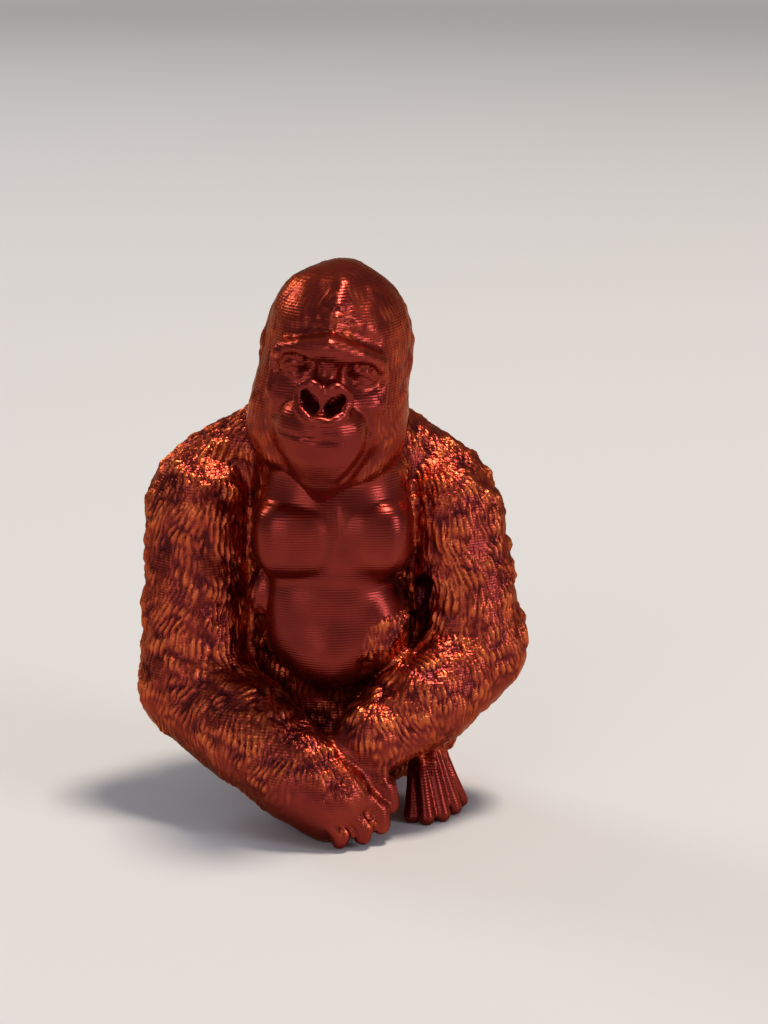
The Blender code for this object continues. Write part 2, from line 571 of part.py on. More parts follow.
def fur_amount(points, normals):
    """Where fur grows: 0 on face, chest, belly, hands and feet, 1 on back and limbs, less on the
    head and under the forearms."""
    d = np.stack([region_distance(points, shapes) for shapes, _ in BODY], 1)
    own = np.exp(-np.maximum(d - d.min(1, keepdims=True), 0) / 0.5)
    own /= own.sum(1, keepdims=True)
    local = (points - np.array(HEAD_AT)) @ HEAD_TURN
    tall = np.where(local[:, 2] > -3.2, 8.8, 7.9)
    face = 1 - ramp(np.hypot((local[:, 0] - 0.2) / 5.8, (local[:, 2] + 3.2) / tall), 0.86, 1.0)
    face *= 1 - ramp(local[:, 1], -4.5, -2.5)
    x, y, z = points.T
    up = z - BELLY_AT[2]
    flank = np.interp(up, [-7, -3, 0, 5], [2.2, 2.7, 3.8, 20.0])
    front = (1 - ramp(y, -4.5, -2.0)) * (1 - ramp(x - flank, 0, 1)) * ramp(up, -9, -7)
    over = ramp(normals[:, 2], 0.1, 0.45)
    fist = np.linalg.norm(points - (np.array(FIST_R) + (1.6, -1.2, -1.0)), axis=1)
    fist = ramp(fist, 4.6, 6.6) * (0.25 + 0.75 * over)
    fist = np.maximum(fist, 0.8 * over * (1 - ramp(x, 4.2, 5.8)))
    fist = np.maximum(fist, 1 - ramp(x, -8.0, -4.0))
    under = 0.45 + 0.55 * ramp(normals[:, 2], -0.35, 0.1)
    hand = 1 - ramp(x + (z - 9) * 0.9, 2.4, 4.8)
    foot = (1 - ramp(z, 5.0, 7.5)) * (y < 0)
    sides = np.maximum(ramp(np.abs(local[:, 0]), 4.0, 6.4), ramp(local[:, 1], 1.0, 5.0))
    head = (1 - face) * (CROWN_FUR + (HEAD_FUR - CROWN_FUR) * sides)
    fur = own[:, 0] * (1 - front) + own[:, 1] * head + own[:, 2] * fist * under
    fur += own[:, 3] * (1 - hand) * under + own[:, 4] * (1 - foot)
    return fur * ramp(z, 0.15, 1.2)


def fine_detail(points):
    """1 on the face, the fist's fingers and the toes, which keep finer faces than the rest."""
    local = (points - np.array(HEAD_AT)) @ HEAD_TURN
    face = (np.hypot(local[:, 0] / 5.6, (local[:, 2] - 0.2) / 6.4) < 1) & (local[:, 1] < -5)
    fingers = np.linalg.norm(points - (np.array(FIST_R) + (3.5, -1.5, -1.0)), axis=1) < 4.6
    toes = (points[:, 2] < ANKLE_L[2] + 1) & (points[:, 1] < ANKLE_L[1]) & (points[:, 0] > ANKLE_L[0] - 3.6)
    return (face | fingers | toes).astype(float)


def fur_flow(points, normals):
    """The way the hair lies: down and a little outwards along the skin."""
    x = points[:, 0]
    swirl = 0.28 * np.sin(0.55 * points[:, 2] + 0.4 * points[:, 1]) * ramp(np.abs(x), 3, 7)
    way = np.stack([0.25 * np.sign(x) * ramp(np.abs(x), 3, 9) + swirl, 0.1 + 0 * x, -1 + 0 * x], 1)
    way -= (way * normals).sum(1, keepdims=True) * normals
    return way / np.maximum(np.linalg.norm(way, axis=1, keepdims=True), 1e-3)


def waves(points, normals, way, length, stretch, count, seed):
    """A sum of random plane waves, each kept only where it runs across the hair."""
    rng = np.random.default_rng(seed)
    total = np.zeros(len(points))
    power = np.zeros(len(points))
    for _ in range(count):
        k = rng.normal(size=3)
        k *= 2 * np.pi / length * rng.uniform(0.75, 1.25) / np.linalg.norm(k)
        phase = rng.uniform(0, 2 * np.pi)
        weight = np.exp(-((way @ k * stretch) ** 2) / 2) * (1 - (normals @ k) ** 2 / (k @ k))
        total += weight * np.cos(points @ k + phase)
        power += weight * weight
    return total / np.sqrt(np.maximum(power, 1e-9) / 2)


def fur_relief(points, normals):
    """Height of the fur over the skin: rounded locks with sharp valleys, on broad lumps."""
    way = fur_flow(points, normals)
    locks = np.abs(waves(points, normals, way, 2 * LOCK_WIDTH, LOCK_LENGTH, FUR_WAVES, 3)) - 0.75
    lumps = waves(points, normals, way, 2 * LUMP_WIDTH, 0.6, FUR_WAVES // 2, 8)
    return fur_amount(points, normals) * (LOCK_HEIGHT * locks + LUMP_HEIGHT * lumps)


def coordinates(mesh, what):
    """A mesh's vertex positions or normals as an array."""
    flat = np.empty(len(mesh.vertices) * 3)
    mesh.vertices.foreach_get(what, flat)
    return flat.reshape(-1, 3)


def put(mesh, points):
    """Writes vertex positions back to a mesh."""
    mesh.vertices.foreach_set("co", points.ravel())
    mesh.update()


def evaluated(obj):
    """The object's mesh with its modifiers applied, and the modifiers removed."""
    graph = bpy.context.evaluated_depsgraph_get()
    mesh = bpy.data.meshes.new_from_object(obj.evaluated_get(graph))
    obj.modifiers.clear()
    obj.data = mesh
    return mesh


def masses(name, shapes, collection):
    """One object holding a closed mesh for each mass, still overlapping."""
    whole = bmesh.new()
    lump = bpy.data.meshes.new("mass")
    for shape in shapes:
        bm = bmesh.new()
        shape.add_to(bm)
        bm.to_mesh(lump)
        bm.free()
        whole.from_mesh(lump)
    mesh = bpy.data.meshes.new(name)
    whole.to_mesh(mesh)
    whole.free()
    bpy.data.meshes.remove(lump)
    obj = bpy.data.objects.new(name, mesh)
    collection.objects.link(obj)
    return obj


def remesh(obj, voxel):
    """Fuses everything in the object into one even skin."""
    fuse = obj.modifiers.new("Fuse", "REMESH")
    fuse.mode = "VOXEL"
    fuse.voxel_size = voxel
    return evaluated(obj)


def settle(mesh, rounds, most):
    """Draws the skin onto the blended masses."""
    points = coordinates(mesh, "co")
    for _ in range(rounds):
        points = points - np.clip(body_distance(points), -most, most)[:, None] * slope(points)
    put(mesh, points)


def keep_largest(mesh):
    """Drops any closed pocket left inside the skin."""
    bm = bmesh.new()
    bm.from_mesh(mesh)
    left = set(bm.verts)
    shells = []
    while left:
        start = left.pop()
        shell = [start]
        queue = [start]
        while queue:
            vert = queue.pop()
            for edge in vert.link_edges:
                other = edge.other_vert(vert)
                if other in left:
                    left.discard(other)
                    shell.append(other)
                    queue.append(other)
        shells.append(shell)
    shells.sort(key=len, reverse=True)
    for shell in shells[1:]:
        bmesh.ops.delete(bm, geom=shell, context="VERTS")
    bm.to_mesh(mesh)
    bm.free()
    mesh.update()


def silk_copper():
    """Deep copper-red silk filament."""
    material = bpy.data.materials.new("Copper red silk filament")
    material.use_nodes = True
    shader = material.node_tree.nodes["Principled BSDF"]
    shader.inputs["Base Color"].default_value = (0.40, 0.075, 0.04, 1.0)
    shader.inputs["Metallic"].default_value = 0.7
    shader.inputs["Roughness"].default_value = 0.35
    material.diffuse_color = (0.40, 0.075, 0.04, 1.0)
    return material


def gorilla():
    """The figurine, from masses to finished skin."""
    collection = bpy.data.collections.new("Gorilla figurine")
    bpy.context.scene.collection.children.link(collection)
    everything = [shape for shapes, _ in BODY for shape in shapes]
    obj = masses("gorilla", [shape for shape in everything if isinstance(shape, (Ball, Limb))], collection)
    hollows = [shape.shape for shape in everything if isinstance(shape, Hollow)]
    holes = [shape for shape in hollows if isinstance(shape, Limb)]
    scoops = masses("scoops", holes, collection)

    remesh(obj, ROUGH_VOXEL)
    remesh(scoops, SCOOP_VOXEL)
    settle(obj.data, 3, 0.6)
    remesh(obj, FINE_VOXEL)
    cut = obj.modifiers.new("Scoop", "BOOLEAN")
    cut.operation = "DIFFERENCE"
    cut.object = scoops
    evaluated(obj)
    bpy.data.objects.remove(scoops)
    mesh = remesh(obj, FINE_VOXEL)
    keep_largest(mesh)
    settle(mesh, 2, 0.3)
    even = obj.modifiers.new("Even", "SMOOTH")
    even.factor = EVEN_SHARE
    even.iterations = EVEN_ROUNDS
    mesh = evaluated(obj)
    settle(mesh, 2, 0.2)
    points = coordinates(mesh, "co")
    normals = coordinates(mesh, "normal")
    put(mesh, points + normals * fur_relief(points, normals)[:, None])

    detail = obj.vertex_groups.new(name="Detail")
    for index in np.flatnonzero(fine_detail(points) > 0.5):
        detail.add([int(index)], DETAIL_WEIGHT, "REPLACE")
    thin = obj.modifiers.new("Thin", "DECIMATE")
    thin.ratio = FACE_BUDGET / (2 * len(mesh.polygons))
    thin.vertex_group = detail.name
    thin.invert_vertex_group = True
    thin.vertex_group_factor = DETAIL_HOLD
    mesh = evaluated(obj)
    points = coordinates(mesh, "co")
    points[:, 2] = np.where(points[:, 2] < BASE_SNAP, 0.0, points[:, 2])
    middle = (points.max(0) + points.min(0)) / 2
    scale = PRINT_HEIGHT * MM / points[:, 2].max()
    put(mesh, (points - (middle[0], middle[1], 0.0)) * scale)
    mesh.shade_smooth()
    mesh.materials.clear()
    mesh.materials.append(silk_copper())
    return obj


gorilla()
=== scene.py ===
# %% [markdown]
# Seated gorilla, a small desk figurine printed in one piece from copper-red silk filament.
# The real thing was sculpted by hand: heavy masses for the head, trunk and limbs, then carved
# fur, a bare face and chest, a fist on the ground and one long-toed foot. This lesson does the
# same in the same order. Simple masses are placed from a table, fused into one skin, drawn onto
# a smooth blend of the masses, and carved. At the end the skin gets its filament finish.

# %% The solid model and its box
import json
import math

import bmesh
import bpy
import numpy as np
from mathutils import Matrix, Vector

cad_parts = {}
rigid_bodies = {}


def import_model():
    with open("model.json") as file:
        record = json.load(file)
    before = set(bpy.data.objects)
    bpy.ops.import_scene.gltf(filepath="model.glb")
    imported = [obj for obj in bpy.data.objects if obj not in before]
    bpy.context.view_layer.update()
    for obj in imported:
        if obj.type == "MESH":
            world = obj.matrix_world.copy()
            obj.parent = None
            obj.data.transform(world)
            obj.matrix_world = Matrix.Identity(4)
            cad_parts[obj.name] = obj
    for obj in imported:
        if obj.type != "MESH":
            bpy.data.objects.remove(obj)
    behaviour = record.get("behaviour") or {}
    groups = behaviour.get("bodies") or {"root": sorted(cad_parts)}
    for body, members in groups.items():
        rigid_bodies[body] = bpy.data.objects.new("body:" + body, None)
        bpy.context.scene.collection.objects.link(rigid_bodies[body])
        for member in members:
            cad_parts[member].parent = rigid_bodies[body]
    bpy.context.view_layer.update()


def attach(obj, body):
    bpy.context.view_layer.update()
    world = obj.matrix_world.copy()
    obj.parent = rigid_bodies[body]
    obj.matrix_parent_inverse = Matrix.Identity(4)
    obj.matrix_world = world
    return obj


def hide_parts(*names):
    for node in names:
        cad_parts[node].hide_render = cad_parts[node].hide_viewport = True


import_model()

# %% [markdown]
# The tables below are in millimetres in the figure's own frame: X to the right of someone who
# faces the gorilla, Y away from them, Z up from the table. The gorilla looks along -Y. Only the
# finished skin is turned into metres and centred over the origin.

# %% Sizes of the skin
MM = 0.001
PRINT_HEIGHT = 60.2
ROUGH_VOXEL = 0.6
MIDDLE_VOXEL = 0.38
FINE_VOXEL = 0.21
SCOOP_VOXEL = 0.2
BASE_ROUNDING = 0.25
TRIANGLES = 198000
print("skin voxels", ROUGH_VOXEL, "to", FINE_VOXEL, "mm, thinned to", TRIANGLES, "triangles")

# %% [markdown]
# Two kinds of mass are enough. A ball is an ellipsoid, which can be made squarer for a chest
# plate. A limb is a round profile carried along a path, with a radius at each point and a half
# ball at each end. Both are grids of two parameters, closed at the poles.

# %% Surfaces of two parameters
def closed_grid(rows, first_pole, last_pole):
    """Faces for a grid of rings: quads between rings, and a fan of triangles at each pole."""
    count, around = rows.shape[:2]
    points = np.vstack([rows.reshape(-1, 3), first_pole, last_pole])
    index = np.arange(count * around).reshape(count, around)
    after = np.roll(index, -1, axis=1)
    quads = np.stack([index[:-1], index[1:], after[1:], after[:-1]], -1).reshape(-1, 4)
    top = np.full(around, count * around)
    bottom = top + 1
    first_fan = np.stack([top, index[0], after[0]], -1)
    last_fan = np.stack([bottom, after[-1], index[-1]], -1)
    return points, quads.tolist() + first_fan.tolist() + last_fan.tolist()


def ball_surface(radii, rings=26, around=44):
    """x = a sin(u) cos(v), y = b sin(u) sin(v), z = c cos(u), with u from pole to pole."""
    u = np.linspace(0, np.pi, rings + 2)[1:-1, None]
    v = np.linspace(0, 2 * np.pi, around, endpoint=False)[None, :]
    unit = np.stack([np.sin(u) * np.cos(v), np.sin(u) * np.sin(v), np.cos(u) + 0 * v], -1)
    pole = np.array([0.0, 0.0, radii[2]])
    return closed_grid(unit * radii, pole, -pole)


def stretch_surface(start, end, start_radius, end_radius, around=24, cap_rings=7):
    """A circle carried from start to end. Its centre and radius follow a quarter turn of a sine
    and a cosine over each rounded end, and run straight between them."""
    along = (end - start) / np.linalg.norm(end - start)
    helper = np.array([1.0, 0, 0]) if abs(along[0]) < 0.9 else np.array([0, 1.0, 0])
    side = np.cross(helper, along)
    side /= np.linalg.norm(side)
    other = np.cross(along, side)
    v = np.linspace(0, 2 * np.pi, around, endpoint=False)[None, :, None]
    circle = np.cos(v) * side + np.sin(v) * other
    t = np.linspace(-np.pi / 2, 0, cap_rings + 1)[1:, None, None]
    first = start + along * start_radius * np.sin(t) + circle * start_radius * np.cos(t)
    t = -t[::-1]
    last = end + along * end_radius * np.sin(t) + circle * end_radius * np.cos(t)
    rows = np.concatenate([first, last])
    points, faces = closed_grid(rows, start - along * start_radius, end + along * end_radius)
    return points, [face[::-1] for face in faces]


print("ball grid:", len(ball_surface((1, 1, 1))[0]), "points")

# %% [markdown]
# Fused masses meet in hard creases. Clay doesn't, so each mass also has a distance: how far a
# point is outside it, negative inside. The smaller of two distances joins two masses, and
# rounding that choice over a blend width fills the crease. The skin of the figure is where the
# blended distance is zero.

# %% Distances and their blend
def blend(a, b, width):
    """The smaller of two distances, less a parabola-shaped fillet where they are within width."""
    if width <= 0:
        return np.minimum(a, b)
    h = np.clip(0.5 + 0.5 * (b - a) / width, 0, 1)
    return b * (1 - h) + a * h - width * h * (1 - h)


def ramp(x, low, high):
    """0 below low and 1 above high, with 3t^2 - 2t^3 between."""
    t = np.clip((x - low) / (high - low), 0, 1)
    return t * t * (3 - 2 * t)


def tube_distance(points, path, radii=None):
    """Distance to the nearest point of a path, less the radius there, which runs straight
    between the path's points."""
    best = np.full(len(points), 1e9)
    radii = np.zeros(len(path)) if radii is None else radii
    for a, b, ra, rb in zip(path[:-1], path[1:], radii[:-1], radii[1:]):
        ab = b - a
        t = np.clip(((points - a) @ ab) / (ab @ ab), 0, 1)
        away = np.linalg.norm(points - a - t[:, None] * ab, axis=1)
        best = np.minimum(best, away - (ra + t * (rb - ra)))
    return best


def curve(points, steps=3):
    """Catmull-Rom curve: between points b and c, half of 2b + (c - a)t + (2a - 5b + 4c - d)t^2 +
    (3b - a - 3c + d)t^3, where a and d are the points before and after."""
    p = np.array(points, float)
    padded = np.vstack([2 * p[0] - p[1], p, 2 * p[-1] - p[-2]])
    a, b, c, d = (padded[first : len(padded) - 3 + first, None] for first in range(4))
    t = np.linspace(0, 1, steps, endpoint=False)[None, :, None]
    between = b + ((c - a) * t + (2 * a - 5 * b + 4 * c - d) * t**2 + (3 * b - a - 3 * c + d) * t**3) / 2
    return np.vstack([between.reshape(-1, p.shape[1]), p[-1:]])


gap = np.array([1.0])
print("two masses 1 mm off, blended over 4 mm, leave", float(blend(gap, gap, 4.0)[0]), "mm")

# %% [markdown]
# A mass knows its surface and its distance, and can be turned or mirrored. Two tools carve the
# clay: a hollow scoops out a ball or limb, and a line draws a soft groove or ridge. A line has
# no surface of its own and only adds to the distance, so it costs no faces.

# %% Balls, limbs, hollows and lines
BOX_REACH = 1.25
LINE_OF_SIGHT_SHARE = 0.25
LINE_MARGIN = 12


class Ball:
    """An ellipsoid, squarer when its power is over 2."""

    def __init__(self, centre, radii, blend_width=1.0, power=2.0):
        self.centre = np.array(centre, float)
        self.radii = np.array(radii, float)
        self.blend_width = blend_width
        self.power = power
        self.reach = self.radii.max() * (1.0 if power <= 2 else BOX_REACH)
        self.frame = np.eye(3)

    def distance(self, points):
        """(f - 1) over the length of f's gradient, where f is the root of the summed powers of
        each coordinate over its radius."""
        a = np.maximum(np.abs((points - self.centre) @ self.frame) / self.radii, 1e-4)
        n = self.power
        if n == 2:
            f = np.linalg.norm(a, axis=1)
            gradient = np.linalg.norm(a / self.radii, axis=1) / f
        else:
            f = (a**n).sum(1) ** (1 / n)
            gradient = np.linalg.norm(a ** (n - 1) / self.radii, axis=1) * f ** (1 - n)
        return np.maximum((f - 1) / gradient, -self.radii.min())

    def surfaces(self):
        points, faces = ball_surface(self.radii)
        return [(points @ self.frame.T + self.centre, faces)]

    def moved(self, turn, shift):
        other = Ball(turn @ self.centre + shift, self.radii, self.blend_width, self.power)
        other.frame = turn @ self.frame
        return other

    def mirrored(self):
        return Ball(self.centre * [-1, 1, 1], self.radii, self.blend_width, self.power)


class Limb:
    """Tapered round stretches through a row of points, with a radius at each point."""

    def __init__(self, path, radii, blend_width=1.0):
        self.path = np.array(path, float)
        self.radii = np.broadcast_to(np.array(radii, float), (len(self.path),)).copy()
        self.blend_width = blend_width
        self.centre = (self.path.max(0) + self.path.min(0)) / 2
        self.reach = np.linalg.norm(self.path - self.centre, axis=1).max() + self.radii.max()

    def distance(self, points):
        return tube_distance(points, self.path, self.radii)

    def surfaces(self):
        ends = zip(self.path[:-1], self.path[1:], self.radii[:-1], self.radii[1:])
        return [stretch_surface(*stretch) for stretch in ends]

    def moved(self, turn, shift):
        return Limb(self.path @ turn.T + shift, self.radii, self.blend_width)

    def mirrored(self):
        return Limb(self.path * [-1, 1, 1], self.radii, self.blend_width)


class Hollow:
    """A ball or limb that is scooped out instead of added."""

    def __init__(self, mass, blend_width=0.5):
        self.mass = mass
        self.blend_width = blend_width

    def moved(self, turn, shift):
        return Hollow(self.mass.moved(turn, shift), self.blend_width)

    def mirrored(self):
        return Hollow(self.mass.mirrored(), self.blend_width)


class Line:
    """A line drawn on the skin from the front: a groove, or a ridge when its depth is negative.
    Its profile is a bell curve, and distance along the line of sight counts a quarter, so the
    line falls on the skin even where its points lie a little off it."""

    def __init__(self, path, width, depth, sight=(0.0, 1.0, 0.0)):
        self.path = curve(path) if len(path) > 2 else np.array(path, float)
        self.width = width
        self.depth = depth
        self.sight = np.array(sight, float)

    def flattened(self, points):
        return points - (1 - LINE_OF_SIGHT_SHARE) * (points @ self.sight)[..., None] * self.sight

    def cut(self, points):
        margin = LINE_MARGIN * self.width
        low = self.path.min(0) - margin
        high = self.path.max(0) + margin
        near = np.all((points > low) & (points < high), axis=1)
        away = tube_distance(self.flattened(points[near]), self.flattened(self.path))
        out = np.zeros(len(points))
        out[near] = self.depth * np.exp(-((away / self.width) ** 2))
        return out

    def moved(self, turn, shift):
        return self.like(self.path @ turn.T + shift, turn @ self.sight)

    def mirrored(self):
        return self.like(self.path * [-1, 1, 1], self.sight * [-1, 1, 1])

    def like(self, path, sight):
        other = Line(path[:2], self.width, self.depth, sight)
        other.path = path
        return other


def bent(path, radii, blend_width):
    """A limb along a smooth curve through the points, with radii that change as smoothly."""
    radii = np.broadcast_to(np.array(radii, float), (len(path),))
    rows = curve(np.column_stack([path, radii]))
    return Limb(rows[:, :3], rows[:, 3], blend_width)


def both(*masses):
    """Each mass and its mirror image across the middle plane."""
    return [each for mass in masses for each in (mass, mass.mirrored())]


away = Ball((0, 0, 0), (5, 5, 5)).distance(np.array([[9.0, 0, 0]]))
print("a ball of radius 5 mm is", round(float(away[0]), 3), "mm from a point 9 mm out")

# %% [markdown]
# The head is modelled upright in its own frame, at the height of the eyes, and leaned and turned
# afterwards, because its two halves match. A gorilla's face is mostly a heavy brow over deep
# sockets, a broad flat nose with a raised rim round each nostril, a wide muzzle, and a jaw that
# runs down to a narrow chin. The crest on the skull and the fur of the cheeks are masses too.

# %% Head sizes
HEAD_AT = (0.25, -3.0, 48.0)
HEAD_LEAN = 7.5
HEAD_YAW = -4.0
SKULL_WIDTH = 15.0
SKULL_DEPTH = 16.8
CREST_TOP = 11.7
CREST_THICK = 1.5
FACE_WIDTH = 12.8
CHEEK_FUR_WIDTH = 16.6
NAPE_WIDTH = 14.4
BROW_WIDTH = 9.6
BROW_Z = 4.4
BROW_THICK = 1.3
EYE_SPACING = 6.6
EYE_WIDTH = 2.3
EYE_Z = 2.0
EYE_DEPTH = -7.8
NOSE_WIDTH = 5.3
NOSE_RIM = 0.5
NOSE_Z = -0.45
NOSTRIL_WIDTH = 1.55
MUZZLE_WIDTH = 9.8
MUZZLE_FRONT = -12.9
JAW_WIDTH = 8.6
CHIN = np.array([0.7, -6.8, -10.7])
MOUTH_Z = -4.2
MOUTH_WIDTH = 7.8
EAR_HEIGHT = 3.6


def turn_about(axis, degrees):
    """Rotation matrix about Y or Z by an angle."""
    c, s = math.cos(math.radians(degrees)), math.sin(math.radians(degrees))
    if axis == "Y":
        return np.array([[c, 0, s], [0, 1, 0], [-s, 0, c]])
    return np.array([[c, -s, 0], [s, c, 0], [0, 0, 1]])


HEAD_TURN = turn_about("Z", HEAD_YAW) @ turn_about("Y", HEAD_LEAN)
print("the head leans", HEAD_LEAN, "and turns", HEAD_YAW, "degrees")

# %% [markdown]
# The head goes from large to small: skull and jaw, brow and eyes, nose, and the lines of the
# face. The nose's rim is a bent limb in the shape of half a heart, mirrored. Each nostril is
# three narrow limbs side by side, scooped out deep, so that it stays dark as in the print.

# %% Skull, crest, cheeks and jaw
def skull_masses():
    """Skull, crown, crest, forehead, face plate, cheek fur, nape, muzzle, chin and jaw edges."""
    skull = SKULL_WIDTH / 2
    deep = SKULL_DEPTH / 2
    crest = CREST_TOP - CREST_THICK
    cheek = CHEEK_FUR_WIDTH / 4
    nape = NAPE_WIDTH / 2
    brow = BROW_WIDTH / 2
    masses = [Ball((0, 1.0, 3.6), (skull, deep, 7.9))]
    masses += [Ball((-0.2, -0.6, 6.2), (skull * 0.81, deep * 0.81, CREST_TOP - 6.5), 2.0)]
    line = [(0.1, -5.0, crest - 2.2), (0, -4.0, crest - 0.9), (0, -0.5, crest), (0, 4.5, crest - 0.9)]
    masses += [Limb(line, CREST_THICK * np.array([0.6, 0.8, 1.0, 1.1]), 1.8)]
    masses += [Ball((0, -4.0, BROW_Z + 1.0), (brow + 0.6, 5.0, 3.6), 1.6)]
    masses += [Ball((0, -3.4, 0.4), (FACE_WIDTH / 2, 5.6, 8.0), 1.6)]
    masses += both(Ball((cheek, -0.6, -3.8), (cheek, 6.0, 6.6), 2.0))
    masses += [Limb([(0, 4, 2), (0, 5, -8)], [nape, nape * 1.05], 2.5)]
    masses += [Ball((0.1, MUZZLE_FRONT + 5.7, MOUTH_Z + 0.6), (MUZZLE_WIDTH / 2, 5.7, 3.7), 2.4, 2.2)]
    masses += [Ball((0.5, CHIN[1] + 0.8, MOUTH_Z - 1.6), (JAW_WIDTH / 2, 5.4, 4.2), 1.5)]
    for side in (-1, 1):
        hinge = (side * (cheek + 1.8), -1.6, -6.0)
        middle = (CHIN[0] + side * 3.2, -4.8, -8.6)
        masses += [Limb([hinge, middle, CHIN], [1.9, 1.5, 0.7], 1.1)]
    lip = [(0.3, -8.9, MOUTH_Z - 1.5), (0.6, -8.0, MOUTH_Z - 4.0), CHIN + (0, -0.2, 0.4)]
    masses += [Limb(lip, [3.4, 2.4, 0.8], 2.2)]
    return masses


def brow_and_eye_masses():
    """The brow bar, the rim and hollow of each socket, the bridge, the eyeballs and their lids."""
    brow = BROW_WIDTH / 2
    eye = EYE_SPACING / 2
    lid = EYE_WIDTH / 2
    bar = [(-brow, -7.6, BROW_Z - 1.0), (-brow * 0.56, -9.3, BROW_Z - 0.1), (0, -9.9, BROW_Z + 0.1),
           (brow * 0.56, -9.3, BROW_Z - 0.1), (brow, -7.6, BROW_Z - 1.0)]
    masses = [bent(bar, np.array([0.75, 1.0, 1.1, 1.0, 0.75]) * BROW_THICK, 1.1)]
    masses += both(bent([(brow, -7.4, BROW_Z - 1.0), (brow + 0.8, -6.6, 1.6), (brow + 0.3, -7.0, -0.6)],
                        [0.7, 0.55, 0.7], 1.0))
    masses += [Limb([(0, -9.1, BROW_Z - 0.4), (0, -9.8, 1.4), (0, -10.6, 0.2)], [1.2, 1.1, 1.5])]
    masses += both(Ball((eye + 0.7, -7.2, EYE_Z - 2.8), (1.8, 1.5, 1.4), 1.6))
    masses += both(Hollow(Ball((eye, EYE_DEPTH - 2.0, EYE_Z + 0.5), (lid + 0.9, 2.1, 1.15)), 0.6))
    masses += both(Ball((eye, EYE_DEPTH + 0.1, EYE_Z - 0.15), (lid * 0.9, 1.0, 0.85), 0.2))
    upper = [(eye - 1.4, EYE_DEPTH - 0.1, EYE_Z - 0.2), (eye - 0.6, EYE_DEPTH - 0.75, EYE_Z + 0.45),
             (eye + 0.4, EYE_DEPTH - 0.75, EYE_Z + 0.5), (eye + 1.35, EYE_DEPTH + 0.2, EYE_Z - 0.2)]
    lower = [(eye - 1.3, EYE_DEPTH - 0.1, EYE_Z - 0.5), (eye, EYE_DEPTH - 0.7, EYE_Z - 0.85),
             (eye + 1.3, EYE_DEPTH + 0.25, EYE_Z - 0.45)]
    masses += both(bent(upper, 0.4, 0.2), bent(lower, 0.3, 0.2))
    return masses


def nose_masses():
    """The wings of the nose, the heart-shaped rim, and the two nostrils."""
    nose = NOSE_WIDTH / 2
    hole = NOSTRIL_WIDTH / 2
    low = np.array([0, 0, NOSE_Z])
    masses = both(Ball(low + (nose * 0.46, -10.7, 0.1), (nose * 0.58, 1.5, 1.8), 0.6))
    masses += both(Hollow(Ball(low + (nose * 0.48, -13.2, -0.2), (nose * 0.4, 1.9, 1.15)), 0.3))
    heart = np.array([(0, -11.4, 0.8), (nose * 0.25, -11.7, 1.45), (nose * 0.57, -11.6, 1.65),
                      (nose * 0.9, -11.1, 1.1), (nose, -10.9, 0.2), (nose * 0.9, -11.5, -0.85),
                      (nose * 0.57, -12.3, -1.55), (nose * 0.25, -12.7, -1.8), (0, -12.8, -1.8)])
    thick = NOSE_RIM * np.array([0.8, 1.05, 1.1, 1, 1, 1.1, 1.2, 1.2, 1.1])
    masses += both(bent(heart + low, thick, 0.2))
    for out, up, thick in ((0.72, 0.4, 0.85), (0.52, -0.05, 0.98), (0.32, -0.55, 0.8)):
        mouth = low + (nose * out, -13.6, up - 0.3)
        depth = low + (nose * out * 0.85, -10.2, up + 0.3)
        masses += both(Hollow(Limb([mouth, depth], [hole * thick, hole * thick * 0.8], 0), 0.12))
    return masses


